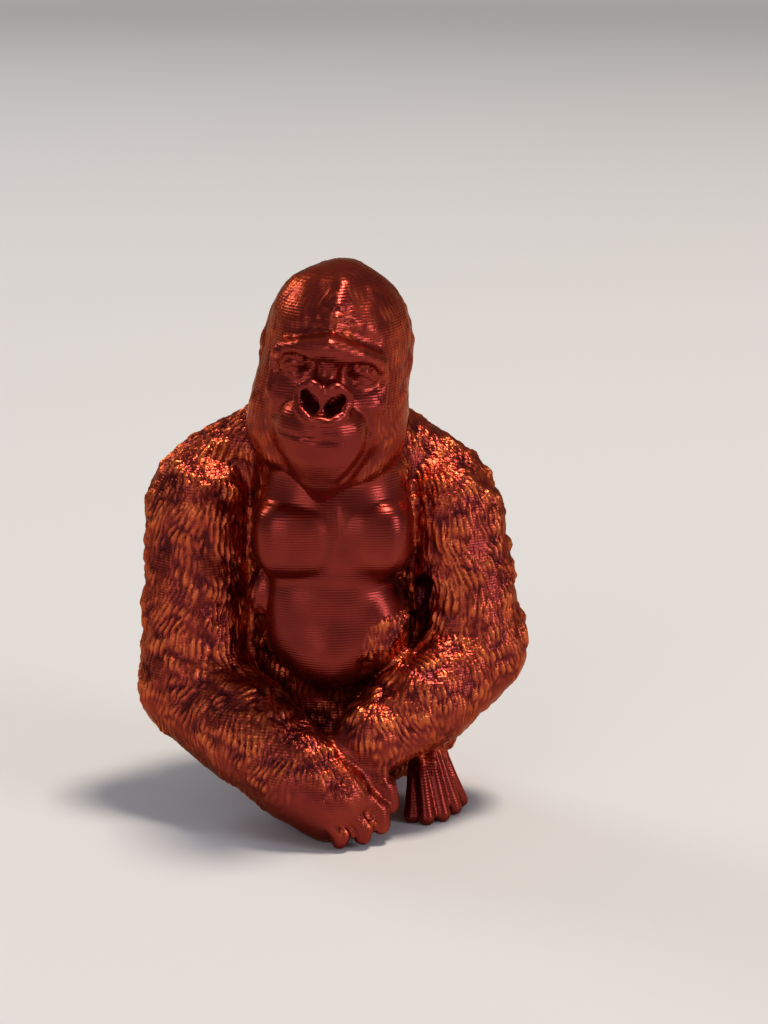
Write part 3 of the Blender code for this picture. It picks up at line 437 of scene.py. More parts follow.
def face_lines():
    """Mouth, folds beside the muzzle and jaw, lines under the eyes, and the forehead's ridge,
    groove and wrinkles."""
    eye = EYE_SPACING / 2
    nose = NOSE_WIDTH / 2
    mouth = MOUTH_WIDTH / 2
    front = MUZZLE_FRONT
    lines = [Line([(-mouth, front + 3.1, MOUTH_Z), (-mouth * 0.56, front + 1.2, MOUTH_Z + 0.1),
                   (0, front + 0.3, MOUTH_Z + 0.05), (mouth * 0.56, front + 1.2, MOUTH_Z + 0.1),
                   (mouth, front + 3.1, MOUTH_Z)], 0.22, 0.38)]
    lines += both(Line([(nose + 0.3, -11.0, -1.0), (4.2, -9.6, -1.7), (4.9, -8.8, -3.2)], 0.32, 0.28))
    lines += [Line([(4.9, -8.8, -3.4), (4.5, -9.2, -6.0), (2.9, -9.0, -8.6)], 0.32, 0.25)]
    cheek = [(3.7, -10.4, -2.6), (4.1, -10.0, -4.2), (3.5, -10.4, -6.4), (2.2, -9.6, -8.4)]
    lines += [Line(cheek, 0.36, -0.25)]
    lines += both(Line([(eye - 1.7, -9.0, EYE_Z - 0.9), (eye - 0.3, -8.8, EYE_Z - 1.8),
                        (eye + 1.5, -8.0, EYE_Z - 1.3), (eye + 2.2, -7.2, EYE_Z + 0.2)], 0.36, 0.08))
    lines += both(Line([(eye - 1.9, -9.0, EYE_Z - 1.7), (eye - 0.2, -8.6, EYE_Z - 2.7),
                        (eye + 2.2, -7.6, EYE_Z - 1.9)], 0.34, 0.12))
    lines += [Line([(0.1, -3.5, 10.4), (0, -6.4, 8.8), (-0.1, -8.4, 6.9), (0, -9.2, 5.2)], 1.1, -0.5)]
    lines += both(Line([(2.3, -4.2, 9.6), (2.4, -6.8, 7.8), (2.5, -8.4, 6.0)], 0.8, 0.14))
    shelf = [(-4.2, -8.0, BROW_Z + 1.1), (-2.2, -8.7, BROW_Z + 1.8), (0, -9.0, BROW_Z + 2.0),
             (2.2, -8.7, BROW_Z + 1.8), (4.2, -8.0, BROW_Z + 1.1)]
    lines += [Line(shelf, 0.75, 0.38)]
    for level, half in ((8.3, 1.3), (7.2, 1.5), (6.2, 1.7)):
        wrinkle = [(-half, -7.6, level + 0.1), (0, -8.0, level - 0.15), (half, -7.6, level + 0.2)]
        lines += [Line(wrinkle, 0.26, 0.26)]
    lines += both(Line([(0.4, -10.0, BROW_Z - 0.9), (0.9, -9.6, BROW_Z + 0.9)], 0.3, 0.3))
    return lines


def head_masses():
    """The whole head in its own frame, with the ears after the nose."""
    ears = both(Ball((SKULL_WIDTH / 2 - 0.4, 0.6, EYE_Z + 0.2), (0.9, 1.5, EAR_HEIGHT / 2), 0.5))
    return skull_masses() + brow_and_eye_masses() + nose_masses() + ears + face_lines()


print(len(head_masses()), "masses and lines in the head")

# %% [markdown]
# The trunk is a stack of broad balls, pelvis to upper back, with the neck and shoulder muscles
# joined on by limbs. The bare front is built of squarer balls, because the chest plates of the
# print are flat with crisp lower edges. Each arm runs from its own shoulder, elbow and wrist
# points, so a moved elbow carries both halves of the arm.

# %% Trunk
PELVIS_WIDTH = 22.8
WAIST_WIDTH = 21.6
RIBS_WIDTH = 24.0
BACK_WIDTH = 27.2
NECK_WIDTH = 16.0
CHEST_WIDTH = 16.8
CHEST_FRONT = -7.8
PEC_LIFT = 0.75
PEC_BOTTOM = 26.9
PEC_TOP = 35.3
CLEAVAGE_X = 0.5
BELLY_WIDTH = 13.6
BELLY_AT = np.array([-0.5, -1.0, 22.0])
TRAP_THICK = 4.2
SHOULDER_R = np.array([-13.9, 4.2, 33.0])
SHOULDER_L = np.array([12.0, 4.2, 32.2])


def trunk_masses():
    """Pelvis, waist, ribs, back, shoulder muscles, neck, chest plates, belly and flank."""
    chest = CHEST_WIDTH / 2
    lift = CHEST_FRONT - PEC_LIFT
    pec_z = (PEC_TOP + PEC_BOTTOM) / 2
    pec_h = (PEC_TOP - PEC_BOTTOM) / 2
    left_edge = 0.2 - chest
    right_edge = 0.2 + chest
    pec_r = (CLEAVAGE_X - left_edge) / 2
    pec_l = (right_edge - CLEAVAGE_X) / 2
    masses = [
        Ball((0, 7.5, 7.6), (PELVIS_WIDTH / 2, 10.2, 9.0)),
        Ball((0, 7.0, 19.0), (WAIST_WIDTH / 2, 9.8, 11.5), 4.0),
        Ball((0, 7.5, 29.0), (RIBS_WIDTH / 2, 9.8, 10.5), 4.0),
        Ball((0, 9.6, 35.0), (BACK_WIDTH / 2, 8.2, 7.8), 4.0),
        Limb([(-5.5, 6, 39.7), SHOULDER_R + (0.9, 1.3, 3.3)], TRAP_THICK, 3.0),
        Limb([(5.0, 6, 38.1), SHOULDER_L + (0.4, 1.3, 2.4)], TRAP_THICK, 3.0),
        Limb([(0, 6.5, 37), (0, 3.0, 44)], [NECK_WIDTH / 2, NECK_WIDTH / 2 - 0.6], 3.0),
        Ball((0.2, CHEST_FRONT + 8.3, 31.0), (chest, 8.3, 6.0), 1.5, 3.0),
        Ball((0.2, CHEST_FRONT + 8.5, 35.8), (chest - 0.6, 7.6, 6.0), 1.5, 2.4),
        Ball(BELLY_AT + (0.1, 0, 0.6), (BELLY_WIDTH / 2, 6.2, 7.2), 1.2, 2.7),
        Ball(BELLY_AT + (0.4, -2.0, -3.6), (BELLY_WIDTH / 2 - 2.5, 4.7, 4.3), 2.0),
        Ball(BELLY_AT + (-6.7, -0.6, 2.4), (1.7, 2.4, 2.8), 0.7),
    ]
    plate_r = np.array(((left_edge + CLEAVAGE_X) / 2, lift + 4.7, pec_z))
    plate_l = np.array(((right_edge + CLEAVAGE_X) / 2, lift + 5.1, pec_z + 0.1))
    masses += [Ball(plate_r + (0.2, 0, 0), (pec_r + 0.15, 4.7, pec_h), 0.3, 3.0)]
    masses += [Ball(plate_l - (0.2, 0, 0), (pec_l + 0.05, 4.7, pec_h), 0.3, 3.0)]
    masses += [Line([(CLEAVAGE_X + 0.1, lift, PEC_TOP - 0.6), (CLEAVAGE_X + 0.3, lift, pec_z),
                     (CLEAVAGE_X - 0.4, lift, PEC_BOTTOM + 1.0)], 0.3, 0.4)]
    masses += [Line([(8.8, lift, 33.4), (7.4, lift, 28.8), (5.7, lift, 27.2)], 0.4, 0.35)]
    masses += [Ball(BELLY_AT + (5.1, -0.6, -1.2), (3.6, 5.3, 5.8))]
    ridge = BELLY_AT + np.array([(7.5, -3.6, 5.2), (8.6, -3.0, 2.0), (8.0, -4.0, -0.5), (6.6, -5.0, -2.6)])
    masses += [Line(ridge, 0.36, -0.7)]
    gap = SHOULDER_L + np.array([(-2.8, -8.2, -5.6), (-2.1, -4.7, -8.2), (-2.6, -5.2, -11.8)])
    masses += [Hollow(Limb(gap, 1.5, 0), 0.4)]
    armpit = SHOULDER_R + np.array([(6.1, -8.0, 6.2), (5.7, -5.8, 3.3), (4.9, -6.2, 0.4)])
    masses += [Hollow(Limb(armpit, 1.15, 0), 0.4)]
    return masses


print(len(trunk_masses()), "masses and lines in the trunk")

# %% [markdown]
# The arms cross low in front. The fist could be one rounded block, but its bent fingers stand
# out in the picture, so each is a limb from knuckle to joint to tip, and all four come from one
# table.

# %% Arms
ELBOW_R = np.array([-14.9, 0.5, 13.9])
WRIST_R = np.array([-3.2, -10.2, 6.5])
FIST_R = np.array([0.0, -11.4, 4.2])
UPPER_ARM_R = 5.5
FOREARM_R = 5.6
WRIST_RADIUS_R = 4.8
ELBOW_L = np.array([15.3, 0.6, 17.8])
WRIST_L = np.array([4.3, -8.5, 10.2])
UPPER_ARM_L = 5.3
FOREARM_L = 5.15
WRIST_RADIUS_L = 3.9
FINGER_RADIUS = 1.1


def fist_masses():
    """The right fist: its block and four bent fingers, each from knuckle to joint to tip."""
    masses = [Ball(FIST_R + (-0.1, 0.2, 0.1), (4.6, 3.8, 4.5))]
    fingers = (
        ((2.9, 0.4, 3.2), (5.7, 0.4, 1.3), (6.1, 0.2, -0.5), 1.12),
        ((2.4, -1.2, 1.6), (5.0, -1.0, -0.6), (5.2, -1.3, -2.2), 1.08),
        ((1.2, -2.4, 0.4), (3.4, -2.6, -1.9), (3.3, -2.7, -2.9), 1.0),
        ((-0.6, -2.9, -0.6), (1.1, -3.5, -2.6), (0.9, -3.4, -3.2), 0.9),
    )
    for knuckle, joint, tip, thick in fingers:
        path = [FIST_R + knuckle, FIST_R + joint, FIST_R + tip]
        masses += [Limb(path, FINGER_RADIUS * thick * np.array([0.95, 1.0, 0.85]), 0.2)]
    for start, end in (((2.2, -1.6, 4.4), (5.4, -0.9, 0.4)), ((1.2, -2.8, 3.2), (4.1, -2.2, -1.0)),
                       ((-0.6, -3.4, 1.8), (2.0, -3.5, -1.6))):
        masses += [Line([FIST_R + start, FIST_R + end], 0.3, 0.14)]
    return masses


def right_arm_masses():
    """The arm on the left of the picture, from shoulder to the fist on the ground."""
    half = (SHOULDER_R + ELBOW_R) / 2
    mid = (ELBOW_R + WRIST_R) / 2
    masses = [Ball(SHOULDER_R, (UPPER_ARM_R + 0.1, UPPER_ARM_R + 0.7, UPPER_ARM_R + 0.5))]
    masses += [Limb([SHOULDER_R + (-0.5, -1.0, -2.0), half + (-0.4, -0.5, -1.5), ELBOW_R + (0, 0.1, 1.1)],
                    [UPPER_ARM_R, UPPER_ARM_R + 0.1, FOREARM_R], 2.5)]
    masses += [Ball(ELBOW_R + (-3.4, 1.7, -1.0), (2.5, 3.0, 3.0), 1.2)]
    masses += [Limb([ELBOW_R + (-0.1, -0.1, -1.1), mid + (0.45, -0.95, -0.6), WRIST_R + (0, 0, 0.1)],
                    [FOREARM_R, FOREARM_R, WRIST_RADIUS_R], 2.0)]
    masses += [Limb([WRIST_R, FIST_R + (0.2, -0.2, 0.4)], [WRIST_RADIUS_R, WRIST_RADIUS_R - 0.6], 1.5)]
    return masses + fist_masses()


def left_arm_masses():
    """The arm on the right of the picture, whose hand goes behind the other forearm."""
    half = (SHOULDER_L + ELBOW_L) / 2
    mid = (ELBOW_L + WRIST_L) / 2
    masses = [Ball(SHOULDER_L, (UPPER_ARM_L - 0.1, UPPER_ARM_L + 0.7, UPPER_ARM_L + 0.7))]
    masses += [Limb([SHOULDER_L + (1.2, -1.0, -1.7), half + (0.3, -0.6, 0.5), ELBOW_L + (0, 0.2, 0.8)],
                    [UPPER_ARM_L, UPPER_ARM_L + 0.1, UPPER_ARM_L - 0.1], 2.5)]
    masses += [Limb([ELBOW_L + (0.2, -0.2, -0.8), mid + (0.2, -1.05, -0.7), WRIST_L],
                    [FOREARM_L, FOREARM_L, WRIST_RADIUS_L], 2.0)]
    masses += [Limb([WRIST_L, WRIST_L + (-2.4, -0.8, -1.6)], [WRIST_RADIUS_L - 0.1, WRIST_RADIUS_L - 1.2])]
    masses += [Limb([WRIST_L + (-0.7, -1.6, -1.5), WRIST_L + (1.1, -2.6, -2.8)],
                    [FINGER_RADIUS * 0.85, FINGER_RADIUS * 0.65], 0.4)]
    return masses


print(len(right_arm_masses()) + len(left_arm_masses()), "masses and lines in the arms")

# %% [markdown]
# Only one foot shows, with five long toes that spread from the ankle to the ground. Each toe is
# a limb that is thin above and thick at its tip, with hardly any blend to its neighbours, so
# the grooves between them stay deep. The other leg is hidden and finished plainly.

# %% Legs
HIP_SPREAD = 6.5
KNEE_L = np.array([10.1, -0.4, 9.8])
ANKLE_L = np.array([10.2, -1.6, 6.2])
KNEE_R = np.array([-9.3, -0.8, 8.8])
FOOT_R = np.array([3.0, -6.0, 1.7])
THIGH = 5.0
TOE_RADIUS = 0.85
TOE_TAPER = np.array([0.62, 0.72, 1.0])
TOE_TIP_Z = 0.8


def leg_masses():
    """Thighs behind the forearms, the long-toed foot in view, the other foot behind the fist."""
    masses = [Limb([(HIP_SPREAD, 7, 8), KNEE_L], [THIGH, THIGH * 0.8])]
    shin = [KNEE_L + (0.2, -0.4, -0.3), ANKLE_L + (-0.1, 0.2, 0.4)]
    masses += [Limb(shin, [THIGH * 0.54, THIGH * 0.34], 1.2)]
    masses += [Limb([ANKLE_L, ANKLE_L + (0.9, 0.4, -4.4)], [1.4, 1.3], 0.8)]
    toes = (
        ((-1.5, -0.9, 0.2), (-1.6, -4.7), 1.08),
        ((-0.9, -1.4, 1.0), (-0.1, -5.4), 1.08),
        ((0.1, -1.5, 1.2), (1.6, -4.4), 1.04),
        ((1.0, -1.2, 0.8), (2.9, -2.3), 1.0),
        ((1.8, -0.4, 0.0), (3.7, 0.0), 0.9),
    )
    for root, tip, thick in toes:
        start = ANKLE_L + root
        end = np.array([ANKLE_L[0] + tip[0], ANKLE_L[1] + tip[1], TOE_TIP_Z])
        middle = start * 0.55 + end * 0.45 + (0, -0.35, 0.1)
        masses += [Limb([start, middle, end], TOE_TAPER * TOE_RADIUS * thick, 0.15)]
    masses += [Limb([(-HIP_SPREAD, 7, 8), KNEE_R], [THIGH, THIGH * 0.8])]
    shin = [KNEE_R + (0.3, -0.7, -0.8), FOOT_R + (-5.0, 2.0, 1.3)]
    masses += [Limb(shin, [THIGH * 0.64, THIGH * 0.48], 1.5)]
    masses += [Limb([FOOT_R + (-5.0, 2.0, 0.9), FOOT_R], [THIGH * 0.48, THIGH * 0.38])]
    return masses


print(len(leg_masses()), "masses in the legs")

# %% [markdown]
# The five regions are blended inside themselves first and with each other last, each with its
# own width, so that the chin keeps its edge over the chest. A mass that is far from a point
# can't change it, so it is skipped there, which saves most of the work.

# %% The whole body as one distance
FAR = 50.0
NEAR_MARGIN = 3.0
BODY = [
    (trunk_masses(), 0.0),
    ([mass.moved(HEAD_TURN, np.array(HEAD_AT)) for mass in head_masses()], 0.9),
    (right_arm_masses(), 0.7),
    (left_arm_masses(), 0.7),
    (leg_masses(), 0.5),
]


def region_distance(points, masses):
    """Distance to one region: its masses blended in the order of the table. A mass that is too
    far off to touch the blend only counts by its bounding ball."""
    d = np.full(len(points), FAR)
    for mass in masses:
        if isinstance(mass, Line):
            d = d + mass.cut(points)
            continue
        solid = mass.mass if isinstance(mass, Hollow) else mass
        gap = np.linalg.norm(points - solid.centre, axis=1) - solid.reach
        near = gap < mass.blend_width + NEAR_MARGIN
        value = solid.distance(points[near])
        if isinstance(mass, Hollow):
            d[near] = -blend(-d[near], value, mass.blend_width)
        else:
            d[near] = blend(d[near], value, mass.blend_width)
            d[~near] = np.minimum(d[~near], gap[~near])
    return d


def body_distance(points):
    """Distance to the whole body, cut flat where it stands on the table."""
    d = None
    for masses, width in BODY:
        region = region_distance(points, masses)
        d = region if d is None else blend(d, region, width)
    return -blend(-d, points[:, 2], BASE_ROUNDING)


def outward(points, step=0.04):
    """Unit gradient of the body's distance, from samples at the corners of a tetrahedron."""
    g = np.zeros_like(points)
    for corner in ((1, 1, 1), (1, -1, -1), (-1, 1, -1), (-1, -1, 1)):
        way = np.array(corner, float)
        g += way * body_distance(points + step * way)[:, None]
    return g / np.maximum(np.linalg.norm(g, axis=1, keepdims=True), 1e-6)


print("masses and lines in the body:", sum(len(masses) for masses, _ in BODY))

# %% [markdown]
# The fur is carved last on the real sculpture, and it is what catches the light. Its locks are
# ridges about 0.6 mm wide that run along the hair, with sharp valleys between. Real hairs would
# be far too many pieces, and a print doesn't have them. A sum of plane waves gives the locks:
# every wave runs straight across space, and is kept only where it lies across the hair on the
# skin, so ridges come out long in the hair's direction and never repeat. Face, chest, belly,
# fingers and foot are bare.

# %% Where fur grows
LOCK_WIDTH = 0.6
LOCK_LENGTH = 0.55
LOCK_HEIGHT = 0.16
STRAND_WIDTH = 0.4
STRAND_HEIGHT = 0.08
PATCH_LENGTH = 3.6
LUMP_WIDTH = 2.3
LUMP_HEIGHT = 0.08
FUR_WAVES = 90
CROWN_FUR = 0.18
HEAD_FUR = 0.4
REGION_FADE = 0.5
FACE_CENTRE = (0.2, -3.2)
FACE_HALF_WIDTH = 5.8
FACE_ABOVE, FACE_BELOW = 8.8, 7.9
FLANK_Z = [15, 19, 22, 27]
FLANK_X = [2.2, 2.7, 3.8, 20.0]


def fur_amount(points, normals):
    """Where fur grows: 0 on face, chest, belly, hands and feet, 1 on back and limbs, less on the
    head and under the forearms."""
    d = np.stack([region_distance(points, masses) for masses, _ in BODY], 1)
    own = np.exp(-np.maximum(d - d.min(1, keepdims=True), 0) / REGION_FADE)
    own /= own.sum(1, keepdims=True)
    local = (points - np.array(HEAD_AT)) @ HEAD_TURN
    across = (local[:, 0] - FACE_CENTRE[0]) / FACE_HALF_WIDTH
    tall = np.where(local[:, 2] > FACE_CENTRE[1], FACE_ABOVE, FACE_BELOW)
    face = 1 - ramp(np.hypot(across, (local[:, 2] - FACE_CENTRE[1]) / tall), 0.86, 1.0)
    face *= 1 - ramp(local[:, 1], -4.5, -2.5)
    x, y, z = points.T
    flank = np.interp(z, FLANK_Z, FLANK_X)
    front = (1 - ramp(y, -4.5, -2.0)) * (1 - ramp(x - flank, 0, 1)) * ramp(z, 13, 15)
    over = ramp(normals[:, 2], 0.1, 0.45)
    fist = ramp(np.linalg.norm(points - (FIST_R + (1.6, -1.2, -1.0)), axis=1), 4.6, 6.6)
    fist = fist * (0.25 + 0.75 * over)
    fist = np.maximum(fist, 0.8 * over * (1 - ramp(x, 4.2, 5.8)))
    fist = np.maximum(fist, 1 - ramp(x, -8.0, -4.0))
    under = 0.45 + 0.55 * ramp(normals[:, 2], -0.35, 0.1)
    hand = 1 - ramp(x + (z - 9) * 0.9, 2.4, 4.8)
    foot = (1 - ramp(z, 5.0, 7.5)) * (y < 0)
    sides = np.maximum(ramp(np.abs(local[:, 0]), 4.0, 6.4), ramp(local[:, 1], 1.0, 5.0))
    head = (1 - face) * (CROWN_FUR + (HEAD_FUR - CROWN_FUR) * sides)
    fur = own[:, 0] * (1 - front) + own[:, 1] * head + own[:, 2] * fist * under
    fur += own[:, 3] * (1 - hand) * under + own[:, 4] * (1 - foot)
    return fur * ramp(z, 0.15, 1.2)


crown = np.array([[0.0, 2.0, 59.0]])
print("fur at the crown:", round(float(fur_amount(crown, np.array([[0.0, 0, 1]]))[0]), 2))

# %% [markdown]
# Hair on the print hangs down and a little outwards, and swirls on the sides. The relief has
# four layers, from broad to fine: low lumps, patches where the locks stand higher, the locks,
# and strands on them. A wave sum without its sign has round tops and sharp valleys.

# %% The lie and the relief of the fur
MEAN_SIZE = 0.75
PATCH_SHARE = 0.5
PATCH_MOST = 1.3


def fur_flow(points, normals):
    """The way the hair lies: down and a little outwards along the skin."""
    x = points[:, 0]
    swirl = 0.28 * np.sin(0.55 * points[:, 2] + 0.4 * points[:, 1]) * ramp(np.abs(x), 3, 7)
    way = np.stack([0.25 * np.sign(x) * ramp(np.abs(x), 3, 9) + swirl, 0.1 + 0 * x, -1 + 0 * x], 1)
    way -= (way * normals).sum(1, keepdims=True) * normals
    return way / np.maximum(np.linalg.norm(way, axis=1, keepdims=True), 1e-3)


def waves(points, normals, way, length, stretch, count, seed):
    """A sum of cosines of k.p + phase with random wave vectors k, each weighted by
    exp(-(k.way stretch)^2 / 2) and by how far k lies in the skin."""
    rng = np.random.default_rng(seed)
    total = np.zeros(len(points))
    power = np.zeros(len(points))
    for _ in range(count):
        k = rng.normal(size=3)
        k *= 2 * np.pi / length * rng.uniform(0.75, 1.25) / np.linalg.norm(k)
        phase = rng.uniform(0, 2 * np.pi)
        weight = np.exp(-((way @ k * stretch) ** 2) / 2) * (1 - (normals @ k) ** 2 / (k @ k))
        total += weight * np.cos(points @ k + phase)
        power += weight * weight
    return total / np.sqrt(np.maximum(power, 1e-9) / 2)


def fur_lumps(points, normals):
    """Broad, low lumps under the locks."""
    way = fur_flow(points, normals)
    lumps = waves(points, normals, way, 2 * LUMP_WIDTH, 0.6, FUR_WAVES // 2, 8)
    return fur_amount(points, normals) * LUMP_HEIGHT * lumps


def fur_relief(points, normals):
    """Height of the fur over the skin: rounded locks with sharp valleys and finer strands on
    them, over broad lumps."""
    way = fur_flow(points, normals)
    locks = waves(points, normals, way, 2 * LOCK_WIDTH, LOCK_LENGTH, FUR_WAVES, 3)
    locks = np.abs(locks) - MEAN_SIZE
    strands = waves(points, normals, way, 2 * STRAND_WIDTH, LOCK_LENGTH * 0.7, FUR_WAVES, 5)
    strands = np.abs(strands) - MEAN_SIZE
    patch = waves(points, normals, way, PATCH_LENGTH, 0.3, FUR_WAVES // 3, 11)
    patch = np.clip(patch, -PATCH_MOST, PATCH_MOST)
    height = (0.8 + PATCH_SHARE * patch) * LOCK_HEIGHT * locks + STRAND_HEIGHT * strands
    return fur_amount(points, normals) * height + fur_lumps(points, normals)


print("locks", LOCK_WIDTH, "mm wide and about", LOCK_HEIGHT, "mm high")

# %% [markdown]
# Now the sculpture is put together. All masses go into one object and are fused into an even
# skin, which is drawn onto the blended distance. A grid of distances could be turned into a
# skin too, but Blender's voxel remesh is much quicker.

# %% Fuse the masses
ROUGH_ROUNDS, ROUGH_STEP = 3, 0.6


def coordinates(mesh, what):
    """A mesh's vertex positions or normals as an array."""
    flat = np.empty(len(mesh.vertices) * 3)
    mesh.vertices.foreach_get(what, flat)
    return flat.reshape(-1, 3)


def put(mesh, points):
    """Writes vertex positions back to a mesh."""
    mesh.vertices.foreach_set("co", points.ravel())
    mesh.update()


def evaluated(obj):
    """The object's mesh with its modifiers applied, and the modifiers removed."""
    graph = bpy.context.evaluated_depsgraph_get()
    mesh = bpy.data.meshes.new_from_object(obj.evaluated_get(graph))
    obj.modifiers.clear()
    obj.data = mesh
    return mesh


def placed(name, data):
    """A new object in the scene, at the origin."""
    obj = bpy.data.objects.new(name, data)
    bpy.context.scene.collection.objects.link(obj)
    return obj


def joined(name, masses):
    """One object holding the surfaces of all the masses, still overlapping."""
    points, faces, count = [], [], 0
    for mass in masses:
        for surface, quads in mass.surfaces():
            points.append(surface)
            faces += [[index + count for index in face] for face in quads]
            count += len(surface)
    mesh = bpy.data.meshes.new(name)
    mesh.from_pydata(np.vstack(points).tolist(), [], faces)
    return placed(name, mesh)


def remesh(obj, voxel):
    """Fuses everything in the object into one even skin."""
    fuse = obj.modifiers.new("Fuse", "REMESH")
    fuse.mode = "VOXEL"
    fuse.voxel_size = voxel
    return evaluated(obj)


def settle(mesh, rounds, most):
    """Draws the skin onto the blended masses."""
    points = coordinates(mesh, "co")
    for _ in range(rounds):
        points = points - np.clip(body_distance(points), -most, most)[:, None] * outward(points)
    put(mesh, points)


def keep_largest(mesh):
    """Drops any closed pocket left inside the skin."""
    edges = np.empty(len(mesh.edges) * 2, int)
    mesh.edges.foreach_get("vertices", edges)
    edges = edges.reshape(-1, 2)
    label = np.arange(len(mesh.vertices))
    while True:
        low = np.minimum(label[edges[:, 0]], label[edges[:, 1]])
        before = label.copy()
        np.minimum.at(label, edges[:, 0], low)
        np.minimum.at(label, edges[:, 1], low)
        label = label[label]
        if np.array_equal(before, label):
            break
    names, counts = np.unique(label, return_counts=True)
    loose = np.flatnonzero(label != names[counts.argmax()])
    if len(loose):
        bm = bmesh.new()
        bm.from_mesh(mesh)
        bm.verts.ensure_lookup_table()
        bmesh.ops.delete(bm, geom=[bm.verts[index] for index in loose], context="VERTS")
        bm.to_mesh(mesh)
        bm.free()
    return len(loose)


everything = [mass for masses, _ in BODY for mass in masses]
skin = joined("gorilla_skin", [mass for mass in everything if isinstance(mass, (Ball, Limb))])
holes = [mass.mass for mass in everything if isinstance(mass, Hollow) and isinstance(mass.mass, Limb)]
scoops = joined("scoops", holes)
remesh(skin, ROUGH_VOXEL)
remesh(scoops, SCOOP_VOXEL)
settle(skin.data, ROUGH_ROUNDS, ROUGH_STEP)
print("rough skin:", len(skin.data.vertices), "points, scoops:", len(scoops.data.vertices))

# %% [markdown]
# The nostrils and the gaps beside the trunk are deep and narrow, and no surface can be pushed
# down such a hole. They are cut with their own limbs instead. The fine skin is then evened a
# little, which takes the stair steps out of the creases, and drawn onto the distance again.

# %% Cut the nostrils and settle the fine skin
EVEN_SHARE, EVEN_ROUNDS = 0.5, 2
FINE_ROUNDS, FINE_STEP = 2, 0.3
remesh(skin, MIDDLE_VOXEL)
cut = skin.modifiers.new("Scoop", "BOOLEAN")
cut.operation = "DIFFERENCE"
cut.object = scoops
evaluated(skin)
bpy.data.objects.remove(scoops)
remesh(skin, FINE_VOXEL)
loose = keep_largest(skin.data)
even = skin.modifiers.new("Even", "SMOOTH")
even.factor = EVEN_SHARE
even.iterations = EVEN_ROUNDS
evaluated(skin)
settle(skin.data, FINE_ROUNDS, FINE_STEP)
print("fine skin:", len(skin.data.vertices), "points,", loose, "loose points dropped")

# %% [markdown]
# The relief pushes each point out along its normal. The skin is then thinned where it is nearly
# flat, so that carving and face keep their detail within a fair number of triangles.

# %% Carve the fur and thin the skin
points = coordinates(skin.data, "co")
normals = coordinates(skin.data, "normal")
relief = fur_relief(points, normals)
put(skin.data, points + normals * relief[:, None])
thin = skin.modifiers.new("Thin", "DECIMATE")
thin.ratio = TRIANGLES / (2 * len(skin.data.polygons))
evaluated(skin)
points = coordinates(skin.data, "co")
print("relief from", round(relief.min(), 2), "to", round(relief.max(), 2), "mm")
print(len(points), "points kept")

# %% [markdown]
# Two values are kept on the skin for the finish: how much fur grows at a point, and how high the
# point stands over the bare skin, from 0 in the valleys to 1 on the tips. The finish uses that
# height to paint shade in the valleys and highlights on the tips. The lowest points are put
# exactly on the table, and the figure is centred and brought to its height in metres.

# %% Fur and height as attributes
TIP_LOW = -0.22
TIP_HIGH = 0.2
BASE_SNAP = 0.12
normals = coordinates(skin.data, "normal")
height = body_distance(points) - fur_lumps(points, normals)
fur = skin.data.attributes.new("fur", "FLOAT", "POINT")
fur.data.foreach_set("value", fur_amount(points, normals).astype(np.float32))
tip = skin.data.attributes.new("tip", "FLOAT", "POINT")
tip.data.foreach_set("value", ramp(height, TIP_LOW, TIP_HIGH).astype(np.float32))
points[:, 2] = np.where(points[:, 2] < BASE_SNAP, 0.0, points[:, 2])
middle = (points.max(0) + points.min(0)) / 2
middle[2] = 0.0
put(skin.data, (points - middle) * (PRINT_HEIGHT * MM / points[:, 2].max()))
skin.data.shade_smooth()
print("figure centred by", (-middle).round(2).tolist(), "mm; size in mm",
      (np.ptp(points, axis=0)).round(2).tolist())

# %% [markdown]
# The finish is silk filament: plastic with metal-like flakes that line up along the printed
# layers. It reads as a soft copper-red metal under a thin clear skin. Layer lines are ridges
# stacked along Z and the finest hairs are a stretched noise, both too small to model, so they
# are bumps. A tint on the metal's edges keeps them warm under a pale sky. Light and shade are
# also painted into the colour: shade in the fur's valleys and on bare skin, gold highlights on the tips.

# %% Silk copper-red filament
LAYER = 0.28
LAYER_BUMP = 0.007
LAYER_WOBBLE = 3.0
HAIR = 0.45
HAIR_BUMP = 0.16
# Painted shade: bare skin is coloured darker than the fur.
PAINTED_BARE_SHADE = 0.14
MOTTLE = 0.5
# Colours by height: painted shade in the fur's valleys, the body's reds, and a painted gold highlight on
# the tips.
PAINTED_VALLEY_SHADE = (0.08, 0.007, 0.010, 1)
DEEP_RED = (0.23, 0.023, 0.016, 1)
COPPER_RED = (0.47, 0.069, 0.026, 1)
PAINTED_TIP_HIGHLIGHT = (0.62, 0.130, 0.038, 1)
EDGE_TINT = (0.95, 0.48, 0.26, 1)
SILK_ROUGHNESS = (0.24, 0.36)
FLAKES = 0.9
CLEAR_SKIN = 0.08
CLEAR_SKIN_ROUGHNESS = 0.18


class Nodes:
    """Short calls for building a node tree."""

    def __init__(self, tree):
        self.tree = tree

    def feed(self, node, inputs):
        """Links a socket to an input, or sets the input's own value."""
        for key, value in inputs.items():
            if isinstance(value, bpy.types.NodeSocket):
                self.tree.links.new(value, node.inputs[key])
            else:
                node.inputs[key].default_value = value

    def add(self, kind, inputs=None, **settings):
        node = self.tree.nodes.new(kind)
        for name, value in settings.items():
            setattr(node, name, value)
        self.feed(node, inputs or {})
        return node

    def maths(self, operation, a, b=0.0):
        return self.add("ShaderNodeMath", {0: a, 1: b}, operation=operation).outputs[0]

    def noise(self, place, scale, detail):
        inputs = {"Vector": place, "Scale": scale, "Detail": detail}
        return self.add("ShaderNodeTexNoise", inputs).outputs[0]


def new_finish(name):
    """A new material, the short calls for its nodes, and its shader."""
    material = bpy.data.materials.new(name)
    material.use_nodes = True
    return material, Nodes(material.node_tree), material.node_tree.nodes["Principled BSDF"]


